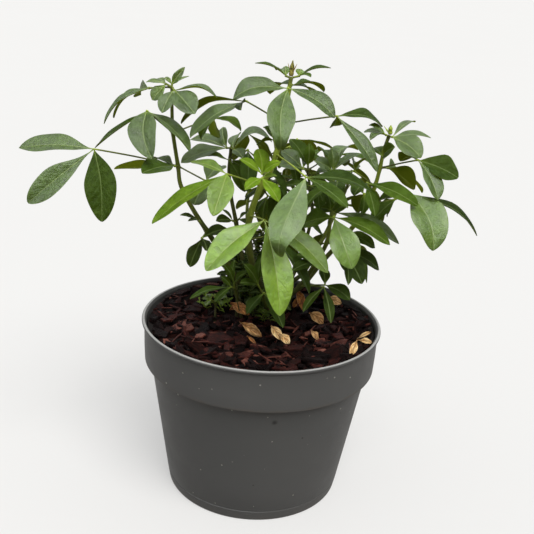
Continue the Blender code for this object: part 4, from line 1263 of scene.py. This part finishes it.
def build_stem(name, stem, materials):
    """A leafy stem: its wood, its stalks, its blades and its buds."""
    dice = random.Random(name)
    gathered = Gathered()
    add_wood(gathered, stem, WOOD_TIPS.get(name, 0.6), dice)
    for title, leaf in stem.leaves.items():
        joint = seen(*leaf.joint)
        if title in BUDS:
            add_buds(gathered, joint, leaf, BUDS[title])
            continue
        fresh = FRESHNESS.get(title, USUAL_FRESHNESS)
        stalk = BRIGHT_STALKS.get(title, of_leaflet(fresh, 0))
        add_stalk(gathered, seen(*stem.path[leaf.grows_at]), joint, stalk)
        for i, leaflet in enumerate(leaf.leaflets):
            blade = leaflet_blade(joint, leaflet)
            # The leaflet's lightness: its own colour with painted shade or painted light
            light = of_leaflet(LIGHTNESS.get(title, 0.5), i)
            hook = of_leaflet(HOOKS.get(title, 1.0), i)
            bend = hook if hook > 1 else dice.uniform(1.0, 1.25)
            tone = light + dice.uniform(-0.06, 0.06)
            shade = max(0.0, of_leaflet(fresh, i) + dice.uniform(-0.05, 0.07))
            slot = SHADED_LEAF if light < SHADED_BELOW else OPEN_LEAF
            roll, sway = ROLLS.get((title, i), 0), SWAYS.get((title, i))
            fold = FOLDS.get((title, i), 1.0)
            add_blade(gathered, blade, dice, shade, tone, bend, roll, sway, fold, upper_slot=slot)
    for root, joint, blades in hidden_leaves(stem):
        add_stalk(gathered, root, joint, 0.0)
        for blade in blades:
            # Painted shade: the leaves at the back are dark and have the shaded leaves' material
            tone = BACK_LIGHTNESS + dice.uniform(-0.12, 0.12)
            bend, shade = dice.uniform(1.0, 1.3), dice.uniform(0.0, 0.18)
            add_blade(gathered, blade, dice, shade, tone, bend, upper_slot=SHADED_LEAF)
    gathered.piece(name + "_leafy", materials, [name])


# Pot

POT_SIDES = 160
DRILL_SIDES = 24
# The groove above the foot, and the radii of the foot's edge, the band's lower edge and the lip's bead
GROOVE_HEIGHT = 9.0
FOOT_EDGE = 1.6
BAND_EDGE = 0.9
LIP_BEAD = 1.35
# How far down from the top the lip has a painted pale highlight
PAINTED_HIGHLIGHT_DEPTH = 0.35
POT_MEAN_RADIUS = 90


def arc(radius_at, height_at, radius, start, end, steps):
    """Points of a turned profile on an arc, its angles in degrees from the outward level."""
    angles = [math.radians(start + (end - start) * i / steps) for i in range(steps + 1)]
    return [(radius_at + radius * math.cos(a), height_at + radius * math.sin(a)) for a in angles]


def pot_wall_radius(height):
    """The outer radius of the pot's lower wall at a height."""
    return FOOT_RADIUS + (SHOULDER_RADIUS - FOOT_RADIUS) * height / (POT_HEIGHT - BAND_DEPTH)


def pot_profile():
    """The pot's section from the middle of its underside round the outside and back inside."""
    shoulder = POT_HEIGHT - BAND_DEPTH
    lip_middle = RIM_RADIUS - LIP / 2 - 0.1
    return (
        [(0.0, 0.9), (FOOT_RADIUS - 6.0, 0.9), (FOOT_RADIUS - 5.0, 0.0)]
        + arc(FOOT_RADIUS - FOOT_EDGE, FOOT_EDGE, FOOT_EDGE, -90, -8, 5)
        + [(pot_wall_radius(GROOVE_HEIGHT - 0.5), GROOVE_HEIGHT - 0.5)]
        + [(pot_wall_radius(GROOVE_HEIGHT) - 0.3, GROOVE_HEIGHT)]
        + [(pot_wall_radius(GROOVE_HEIGHT + 0.7), GROOVE_HEIGHT + 0.7)]
        + [(pot_wall_radius(h), h) for h in (30.0, 55.0, 80.0, shoulder - 1.6)]
        + [(SHOULDER_RADIUS + 0.25, shoulder - 0.5), (SHOULDER_RADIUS + 1.0, shoulder)]
        + arc(BAND_FOOT_RADIUS - BAND_EDGE, shoulder + BAND_EDGE, BAND_EDGE, -90, 0, 5)
        + [(BAND_FOOT_RADIUS + 0.5, shoulder + 12.0), (RIM_RADIUS - LIP - 0.35, POT_HEIGHT - 4.6)]
        + [(RIM_RADIUS - LIP - 0.1, POT_HEIGHT - 3.4)]
        + arc(lip_middle - 0.35, POT_HEIGHT - LIP_BEAD, LIP_BEAD, -50, 150, 14)
        + [(RIM_RADIUS - LIP - WALL, POT_HEIGHT - 2.2)]
        + [(BAND_FOOT_RADIUS - WALL, shoulder + WALL + 1.0)]
        + [(pot_wall_radius(shoulder) - WALL, shoulder + WALL)]
        + [(FOOT_RADIUS - WALL, WALL + 1.5), (0.0, WALL + 0.9)]
    )


def turned_rings(profile, sides):
    """Rings round the upright axis for a profile's points, those on the axis a tiny ring."""
    rings = []
    for radius, height in profile:
        reach = max(radius, 0.05)
        rings.append([Vector((reach * math.cos(a), reach * math.sin(a), height)) for a in full_turn(sides)])
    return rings


def build_pot(plastic):
    """The pot, turned, with its drain holes cut through the floor."""
    gathered = Gathered()
    profile = pot_profile()
    # The points at the very top of the lip carry the painted highlight
    painted_highlight = [1.0 if h > POT_HEIGHT - PAINTED_HIGHLIGHT_DEPTH else 0.5 for r, h in profile]

    def lie_mark(r, k):
        return min(k, POT_SIDES - k) * 2 * math.pi * POT_MEAN_RADIUS / POT_SIDES, profile[r][1]

    gathered.loft(turned_rings(profile, POT_SIDES), lie_mark, tone=painted_highlight)
    pot = gathered.piece("pot_shell", [plastic], ["pot"], sharp=28)
    drills = Gathered()
    for angle in full_turn(DRAIN_HOLES, 0.5):
        middle = Vector((DRAIN_RING_RADIUS * math.cos(angle), DRAIN_RING_RADIUS * math.sin(angle), 0))
        circle = [Vector((math.cos(a), math.sin(a), 0)) * DRAIN_HOLE_RADIUS for a in full_turn(DRILL_SIDES)]
        rings = [[middle + spot + Vector((0, 0, h)) for spot in circle] for h in (-3.0, 6.0)]
        drills.loft(rings, lambda r, k: (k, r))
    cut_away(pot, drills.piece("drain_cutter", [plastic]))


def cut_away(target, cutter):
    """Cuts one object out of another for good, and removes the cutter."""
    boolean = target.modifiers.new("drain_holes", "BOOLEAN")
    boolean.operation = "DIFFERENCE"
    boolean.object = cutter
    boolean.solver = "MANIFOLD"
    graph = bpy.context.evaluated_depsgraph_get()
    mesh = bpy.data.meshes.new_from_object(target.evaluated_get(graph))
    target.modifiers.clear()
    target.data = mesh
    bpy.data.objects.remove(cutter)


# Mulch

# How far out and how high each layer of a chip is, from its underside to its face
CHIP_LAYERS = ((0.8, -0.5), (1.0, -0.35), (0.96, 0.05), (1.0, 0.2), (0.94, 0.5), (0.5, 0.52))
# How much of its own tone each layer has: painted shade makes a chip dark low down and on its sides, and a
# painted highlight brightens the edge of its face
CHIP_PAINTED_SHADE = (0.0, 0.05, 0.3, 0.75, 1.1, 1.0)


def filling_radius(height):
    """The radius that fills the pot's band at a height, clear of its wall."""
    shoulder = POT_HEIGHT - BAND_DEPTH
    share = (height - shoulder - WALL) / (BAND_DEPTH - WALL)
    low, high = BAND_FOOT_RADIUS - WALL, RIM_RADIUS - LIP - WALL
    return low + share * (high - low) - 2 * FIT_GAP


def inside_wall(point):
    """The point itself, or where it meets the inside of the pot's band if it lies beyond that."""
    spare = filling_radius(min(point.z, POT_HEIGHT)) / max(math.hypot(point.x, point.y), 0.1)
    return Vector((point.x * spare, point.y * spare, point.z)) if spare < 1 else point


def add_chip(gathered, middle, size, facing_up, spin, dice, tone):
    """One angular flake of bark with broken, layered edges, lying with its face along facing_up."""
    length, width, thickness = size
    corners = dice.randrange(4, 7)
    turns = [2 * math.pi * (k + dice.uniform(-0.3, 0.3)) / corners for k in range(corners)]
    reaches = [dice.uniform(0.75, 1.15) for _ in turns]
    outline = [(math.cos(a) * length / 2 * f, math.sin(a) * width / 2 * f) for a, f in zip(turns, reaches)]
    edge = []
    for (x0, y0), (x1, y1) in zip(outline, outline[1:] + outline[:1]):
        nick = dice.uniform(0.88, 1.0)
        edge += [(x0, y0), ((x0 + x1) / 2 * nick, (y0 + y1) / 2 * nick)]
    above = facing_up.normalized()
    ahead = Vector((math.cos(spin), math.sin(spin), 0))
    ahead = (ahead - above * ahead.dot(above)).normalized()
    aside = above.cross(ahead)
    slope = dice.uniform(-0.3, 0.3) * thickness / width
    rings, spots = [], []
    for share, level in CHIP_LAYERS:
        ring, marks = [], []
        for x, y in edge:
            x_here, y_here = (v * share * dice.uniform(0.95, 1.03) for v in (x, y))
            rise = level * thickness * dice.uniform(0.9, 1.1) + slope * y_here
            ring.append(inside_wall(middle + ahead * x_here + aside * y_here + above * rise))
            marks.append((y_here + 40 * tone, x_here + level * 2))
        rings.append(ring)
        spots.append(marks)
    # Painted shade low on the chip's sides and a painted highlight at the edge of its face
    tones = [tone * share for share in CHIP_PAINTED_SHADE]
    gathered.loft(rings, lambda r, k: spots[r][k], tone=tones)


# How many loose chips there are and how long they are drawn, and how many lie along the wall
CHIP_COUNT = 680
CHIP_LENGTH = (9.0, 32.0)
WALL_CHIPS = 120
CRUMB_COUNT = 480
SPLINTER_COUNT = 90
STEM_CLEARANCE = 4.5
# How far the chips heap up at the wall, and how deep and how wide they dip under a dry leaf's middle
WALL_HEAP = 7.5
DRY_DIP = 3.5
DRY_DIP_WIDTH = 11.0
DRY_MIDDLES = [
    ((on_level(*leaf.start, DRY_LEVEL) + on_level(*leaf.end, DRY_LEVEL)) / 2).xy.to_3d()
    for leaf in DRY_LEAVES.values()
]
# How far the bed of crumbs stays off the wall, and how far it lies below the chips' level
BED_GAP = 0.4
BED_SUNK = 2.6
BED_SIDES = 96
# Chips that stand out in the picture: pixel, length, width and thickness (mm), spin (degrees) and tone
NOTED_CHIPS = (
    ((200, 337), (13, 10, 3.5), 75, 0.95), ((187, 329), (16, 11, 3.5), 60, 0.78),
    ((323, 353), (13, 10, 3), 30, 0.95), ((242, 357), (17, 11, 3.5), 10, 0.62),
    ((226, 356), (13, 9, 3), -20, 0.72), ((217, 340), (26, 18, 3.5), -5, 0.42),
    ((192, 309), (22, 14, 3), 40, 0.25), ((240, 341), (19, 14, 3), 100, 0.4),
    ((280, 357), (20, 3, 1.5), 5, 0.8), ((171, 318), (18, 8, 3), 20, 0.5),
    ((339, 338), (17, 11, 3.5), -30, 0.5), ((303, 358), (22, 3, 1.5), 8, 0.75),
    ((364, 325), (16, 6, 3), 15, 0.68), ((366, 319), (15, 5, 3), 25, 0.62),
    ((309, 335), (11, 9, 3), 70, 0.85), ((262, 348), (18, 9, 3), -35, 0.3),
    ((295, 349), (19, 10, 3), 25, 0.35), ((208, 352), (15, 8, 3), -15, 0.55),
)


def tone_drawn(dice):
    """Mostly dark bark, a quarter of it red-brown and a few flakes pink."""
    draw = dice.random()
    if draw < 0.68:
        return dice.uniform(0.0, 0.24)
    return dice.uniform(0.3, 0.66) if draw < 0.94 else dice.uniform(0.7, 0.95)


def bed_height(x, y):
    """The level of the chips at a place: heaped up a little by the wall, and dipped under a dry leaf."""
    heap = WALL_HEAP * (math.hypot(x, y) / RIM_RADIUS) ** 4
    near = min((Vector((x, y, 0)) - middle).length for middle in DRY_MIDDLES)
    return BED_TOP + heap - DRY_DIP * bell(near, DRY_DIP_WIDTH)


def on_bed(distance, bearing):
    x, y = distance * math.cos(bearing), distance * math.sin(bearing)
    return Vector((x, y, bed_height(x, y)))


def bed_place(dice, margin):
    """A place on the bed, evenly spread, at least a margin from the pot's wall."""
    distance = (filling_radius(BED_TOP) - margin) * math.sqrt(dice.random())
    return on_bed(distance, dice.uniform(0, 2 * math.pi))


def clear_of_stems(place, reach):
    return all(math.hypot(place.x - s.foot[0], place.y + s.foot[1]) > reach for s in STEMS.values())


def leaning(dice, steep):
    """A direction near upright, off it by up to steep degrees."""
    lean = math.radians(dice.uniform(0, steep))
    bearing = dice.uniform(0, 2 * math.pi)
    return Vector((math.sin(lean) * math.cos(bearing), math.sin(lean) * math.sin(bearing), math.cos(lean)))


def build_bed(soil):
    """The bed of fine crumbs under the chips: a disc with an uneven top."""
    gathered = Gathered()
    low = BED_TOP - BED_DEPTH
    foot, edge = filling_radius(low) - BED_GAP, filling_radius(BED_TOP) - BED_GAP
    top = [(r, BED_TOP - BED_SUNK) for r in (edge, 83, 77, 70, 62, 54, 46, 38, 30, 22, 14, 6, 0)]
    rings = turned_rings([(0, low), (foot, low), (edge, BED_TOP - 4)] + top, BED_SIDES)
    for ring in rings[3:]:
        for point in ring:
            point.z += bed_height(point.x, point.y) - BED_TOP
            point.z += 1.6 * noise.noise(point * 0.11) + 0.8 * noise.noise(point * 0.35)
    gathered.loft(rings, lambda r, k: rings[r][k].xy)
    gathered.piece("mulch_bed", [soil], ["bark_mulch"], sharp=80)


def build_chips(bark):
    """The bark chips: large flakes in loose layers, and the noted ones on top."""
    dice = random.Random(21)
    gathered = Gathered()
    for _ in range(CHIP_COUNT):
        length = dice.uniform(*CHIP_LENGTH) * dice.uniform(0.6, 1.0)
        size = (length, min(15.0, length * dice.uniform(0.3, 0.7)), dice.uniform(1.6, 4.6))
        place = bed_place(dice, length / 2 + 1.0)
        place.z += dice.uniform(-5.0, 2.2)
        up, spin, tone = leaning(dice, 46), dice.uniform(0, 2 * math.pi), tone_drawn(dice)
        if clear_of_stems(place, STEM_CLEARANCE):
            add_chip(gathered, place, size, up, spin, dice, tone)
    for _ in range(WALL_CHIPS):
        length = dice.uniform(9, 22)
        size = (length, length * dice.uniform(0.35, 0.6), dice.uniform(1.6, 4.0))
        distance = filling_radius(BED_TOP) - size[1] / 2 - length**2 / (8 * RIM_RADIUS) - 1.2
        bearing = dice.uniform(0, 2 * math.pi)
        place = on_bed(distance, bearing)
        place.z += dice.uniform(-2.5, 1.0)
        spin, tone = bearing + math.pi / 2 + dice.uniform(-0.2, 0.2), tone_drawn(dice)
        add_chip(gathered, place, size, leaning(dice, 22), spin, dice, tone)
    for (across, down), size, spin, tone in NOTED_CHIPS:
        place = on_level(across, down, BED_TOP + 3.5)
        add_chip(gathered, place, size, leaning(dice, 16), math.radians(spin), dice, tone)
    gathered.piece("bark_chips", [bark], ["bark_mulch"], sharp=30)


def build_crumbs(bark):
    """Broken bits and thin splinters between the chips."""
    dice = random.Random(22)
    gathered = Gathered()
    for _ in range(CRUMB_COUNT):
        length = dice.uniform(1.6, 5.5)
        size = (length, length * dice.uniform(0.4, 0.8), length * dice.uniform(0.25, 0.5))
        place = bed_place(dice, 3.0)
        place.z += dice.uniform(-1.6, 1.6)
        add_chip(gathered, place, size, leaning(dice, 40), dice.uniform(0, 6.3), dice, tone_drawn(dice))
    for _ in range(SPLINTER_COUNT):
        length = dice.uniform(10, 24)
        size = (length, dice.uniform(1.0, 2.2), dice.uniform(0.8, 1.6))
        place = bed_place(dice, length / 2 + 1.0)
        place.z += dice.uniform(0.8, 3.0)
        tone = dice.uniform(0.35, 0.95)
        add_chip(gathered, place, size, leaning(dice, 14), dice.uniform(0, 6.3), dice, tone)
    gathered.piece("bark_crumbs", [bark], ["bark_mulch"], sharp=30)


# Dry leaves

# How dark each dry leaf is, from 0 brown to 1 pale tan, and how crumpled
DRY_LOOKS = {
    "dry_leaf_orange": (0.26, 0.6), "dry_leaf_torn": (0.48, 1.1), "dry_petal_middle": (0.85, 0.25),
    "dry_petal_front": (0.9, 0.25), "dry_leaf_brown": (0.42, 0.4), "dry_petal_upper": (0.95, 0.2),
    "dry_petal_lower": (0.95, 0.2), "dry_petal_left": (0.9, 0.15), "dry_leaf_back": (0.5, 0.35),
}
# How high a dry leaf lies over its level (mm), and how upright it stands, from 0 to 1
DRY_LIFT = 1.5
DRY_STAND = 0.6
DRY_HALF_THICKNESS = 0.22
# Scraps of dry leaf between the chips: two ends in pixels, width (mm), tone
SCRAPS = (
    ((311, 330), (318, 340), 5, 0.5), ((297, 288), (303, 311), 7, 0.12), ((247, 336), (256, 344), 2.5, 0.2),
    ((322, 297), (331, 303), 6, 0.4), ((229, 310), (238, 306), 5, 0.2), ((300, 296), (293, 308), 5, 0.08),
)
# How much the scraps arch (mm), and how crumpled they are
SCRAP_RISE = 1.5
SCRAP_CRUMPLE = 0.6


def add_dry_leaf(gathered, leaf, tone, crumple, dice):
    """A dry leaf that stands up a little from the mulch, its lower end in the picture the nearer one."""
    base = on_level(*leaf.start, DRY_LEVEL + DRY_LIFT)
    tip = on_level(*leaf.end, DRY_LEVEL + DRY_LIFT)
    nearest = max(-base.y, -tip.y)
    base = base.lerp(seen(*leaf.start, nearest), DRY_STAND)
    tip = tip.lerp(seen(*leaf.end, nearest), DRY_STAND)
    up = Vector((dice.uniform(-0.3, 0.3), -0.8, 0.8))
    blade = Blade(base, tip, leaf.width, up, leaf.rise / (tip - base).length)
    add_blade(
        gathered, blade, dice, 0.0, tone, 1.2, crumple=crumple, thickness=DRY_HALF_THICKNESS,
        upper_slot=0, lower_slot=0,
    )


def build_dry_leaf(name, leaf, dry):
    """A dry curled leaf or petal that lies where its solid does."""
    gathered = Gathered()
    add_dry_leaf(gathered, leaf, *DRY_LOOKS[name], random.Random(name))
    gathered.piece(name + "_curled", [dry], [name])


def build_scraps(dry):
    """Scraps of dry leaf that lie between the chips."""
    dice = random.Random(23)
    gathered = Gathered()
    for start, end, width, tone in SCRAPS:
        add_dry_leaf(gathered, DryLeaf(start, end, width, SCRAP_RISE), tone, SCRAP_CRUMPLE, dice)
    gathered.piece("dry_scraps", [dry])


# Small growth at the foot of the stems

# Clumps of shoots: the part of the picture that their feet stand in (left, top, right, bottom), how many
# there are, how far they reach (mm), how long their leaves are and how far apart (mm), how light and fresh
# The two dense clumps among the stems' feet are painted nearly black, as in the plant's shade, and all the
# shoots have the shaded leaves' material
CLUMPS = (
    ((202, 298, 228, 312), 22, (4, 10), 4.6, 2.0, 0.3, 0.2),
    ((247, 298, 266, 316), 30, (14, 42), 10.0, 5.0, 0.0, 0.0),
    ((232, 288, 264, 300), 34, (24, 58), 11.0, 6.0, 0.0, 0.0),
    ((262, 312, 276, 326), 5, (6, 12), 6.0, 4.0, 0.15, 0.0),
)
# How many pale tendrils and dead twiglets there are
TENDRILS = 16
TWIGLETS = 26


def drawn_lean(dice, across, away):
    """A direction near upright, off it by a draw to the right and a draw away from the viewer."""
    return Vector((dice.uniform(*across), dice.uniform(*away), 1.0)).normalized()


def add_stick(gathered, course, steps, thick, taper, sides, fresh):
    """A thin tube through three points, whose radius narrows by a share."""
    points, shares = smooth_course(course, steps)
    add_tube(gathered, points, [thick * (1 - taper * t) for t in shares], sides, fresh=fresh)
    return points


def add_shoot(gathered, foot, lean, reach, leaf_length, gap, tone, fresh, dice):
    """A thin shoot with narrow leaves in pairs all the way up."""
    tip = foot + lean * reach
    side = lean.orthogonal()
    middle = (foot + tip) / 2 + side * dice.uniform(-0.12, 0.12) * reach
    points = add_stick(gathered, [foot, middle, tip], 5, 0.5, 0.5, 5, 0.15 + 0.5 * fresh)
    pairs = max(2, int(reach / gap))
    for i in range(1, pairs + 1):
        place = points[min(len(points) - 1, round(i / pairs * (len(points) - 1)))]
        turn = 2.4 * i + dice.uniform(-0.3, 0.3)
        for way in (turn, turn + math.pi):
            out = Matrix.Rotation(way, 3, lean) @ side
            heading = (out + lean * dice.uniform(-0.1, 0.9)).normalized()
            length = leaf_length * dice.uniform(0.7, 1.15)
            blade = Blade(place, place + heading * length, length * 0.5, lean + out * 0.2, 0.1)
            light = tone + dice.uniform(-0.1, 0.1)
            add_blade(gathered, blade, dice, fresh, light, 1.1, upper_slot=SHADED_LEAF)


def build_growth(materials):
    """Small growth among the stems' feet: pale thin tendrils that bend over, dead twiglets, and clumps of
    leafy shoots."""
    dice = random.Random(31)
    gathered = Gathered()
    for _ in range(TENDRILS):
        foot = on_level(dice.uniform(226, 238), dice.uniform(291, 299), BED_TOP - 1)
        lean = drawn_lean(dice, (-0.5, 0.35), (-0.3, 0.3))
        reach = dice.uniform(12, 27)
        fall = Vector((lean.x * 0.6, lean.y * 0.6, -0.35)) * reach * 0.55
        middle = foot + lean * reach * 0.6
        course = [foot, middle, foot + lean * reach + fall]
        add_stick(gathered, course, 6, 0.5, 0.85, 5, 0.55 + dice.uniform(-0.1, 0.2))
    for _ in range(TWIGLETS):
        foot = Vector((dice.uniform(-24, 26), dice.uniform(12, 44), BED_TOP - 1))
        lean = drawn_lean(dice, (-0.5, 0.5), (-0.4, 0.3))
        reach = dice.uniform(16, 46)
        kink = foot + lean * reach * 0.55 + Vector((dice.uniform(-3, 3), dice.uniform(-3, 3), 0))
        course = [foot, kink, foot + lean * reach]
        add_stick(gathered, course, 5, 0.75, 0.65, 6, dice.uniform(0.0, 0.15))
    for (x0, y0, x1, y1), count, reaches, leaf_length, gap, tone, fresh in CLUMPS:
        for _ in range(count):
            foot = on_level(dice.uniform(x0, x1), dice.uniform(y0, y1), BED_TOP)
            lean = drawn_lean(dice, (-0.6, 0.4), (-0.6, 0.3))
            add_shoot(gathered, foot, lean, dice.uniform(*reaches), leaf_length, gap, tone, fresh, dice)
    gathered.piece("foot_growth", materials)


# Floor and light

FLOOR_REACH = 300.0
FLOOR_GLOW = 0.44
FLOOR_MIRRORED = 0.35
SKY_COLOUR = (0.97, 0.985, 1.0, 1.0)
# How bright the sky is at the horizon and overhead, for what it lights and for what mirrors it
SKY_LIGHT = (0.14, 0.9)
MIRRORED_SKY = (0.12, 1.8)
MIRRORED_WALL = 0.8
MIRRORED_WINDOW = 5.0
WINDOW_TOWARDS = (-0.46, -0.63, 0.62)
BACKDROP_LIGHT = 0.88
SUN_LIGHT = 2.6
SUN_COLOUR = (1.0, 0.985, 0.96)
SUN_WIDTH = 36
SUN_FROM = (0.4, -0.8, 1.3)


def build_floor():
    """A flat floor that reaches past the top of the picture."""
    mesh = bpy.data.meshes.new("floor")
    half = FLOOR_REACH
    corners = [(-half, -half, 0), (half, -half, 0), (half, half, 0), (-half, half, 0)]
    mesh.from_pydata(corners, [], [(0, 1, 2, 3)])
    mesh.materials.append(floor_material())
    linked("floor", mesh)


def light_scene():
    """A bright sky overhead, a pale wall behind, and one broad soft light from above, in front and to the
    right. What mirrors the sky sees it brighter than what it lights."""
    world = bpy.data.worlds.new("studio")
    bpy.context.scene.world = world
    world.use_nodes = True
    sky = Nodes(world.node_tree)
    path = sky.put("LightPath").outputs
    looking = sky.place("Generated")
    heading = sky.split(looking)
    lit = sky.ranged(heading[2], 0.0, 1.0, *SKY_LIGHT)
    overhead = sky.ranged(heading[2], 0.2, 0.75, *MIRRORED_SKY)
    behind = sky.ranged(heading[1], 0.1, 0.7, 0.0, MIRRORED_WALL)
    towards = sky.vectors("DOT_PRODUCT", looking, WINDOW_TOWARDS)["Value"]
    window = sky.ranged(towards, 0.5, 0.95, 0.0, MIRRORED_WINDOW)
    mirrored = sky.maths("MAXIMUM", sky.maths("MAXIMUM", overhead, behind), window)
    to_camera = sky.put("Mix", {0: path["Is Camera Ray"], 2: lit, 3: BACKDROP_LIGHT}).outputs[0]
    strength = sky.put("Mix", {0: path["Is Glossy Ray"], 2: to_camera, 3: mirrored}).outputs[0]
    sky.feed(sky.tree.nodes["Background"], {"Color": SKY_COLOUR, "Strength": strength})
    data = bpy.data.lights.new("window_light", "SUN")
    data.energy = SUN_LIGHT
    data.angle = math.radians(SUN_WIDTH)
    data.color = SUN_COLOUR
    light = linked("window_light", data)
    light.rotation_euler = (-Vector(SUN_FROM)).to_track_quat("-Z", "Y").to_euler()
    bpy.context.scene.view_settings.view_transform = "Standard"


# The whole scene


def main():
    place_camera()
    open_leaf = leaf_upper_material("leaf_upper", 0.5, 0.6, 0.9, 0.26)
    shaded_leaf = leaf_upper_material("leaf_upper_shaded", 0.05, 0.0, 0.5, 0.17)
    leafy = [open_leaf, leaf_under_material(), green_wood_material(), bud_material(), shaded_leaf]
    bark, soil, dry = bark_material(), soil_material(), dry_leaf_material()
    build_pot(pot_material())
    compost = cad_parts["compost"]
    compost.data.materials.clear()
    compost.data.materials.append(soil)
    build_bed(soil)
    build_chips(bark)
    build_crumbs(bark)
    for name, stem in STEMS.items():
        build_stem(name, stem, leafy)
    for name, leaf in DRY_LEAVES.items():
        build_dry_leaf(name, leaf, dry)
    build_scraps(dry)
    build_growth(leafy)
    build_floor()
    light_scene()


main()
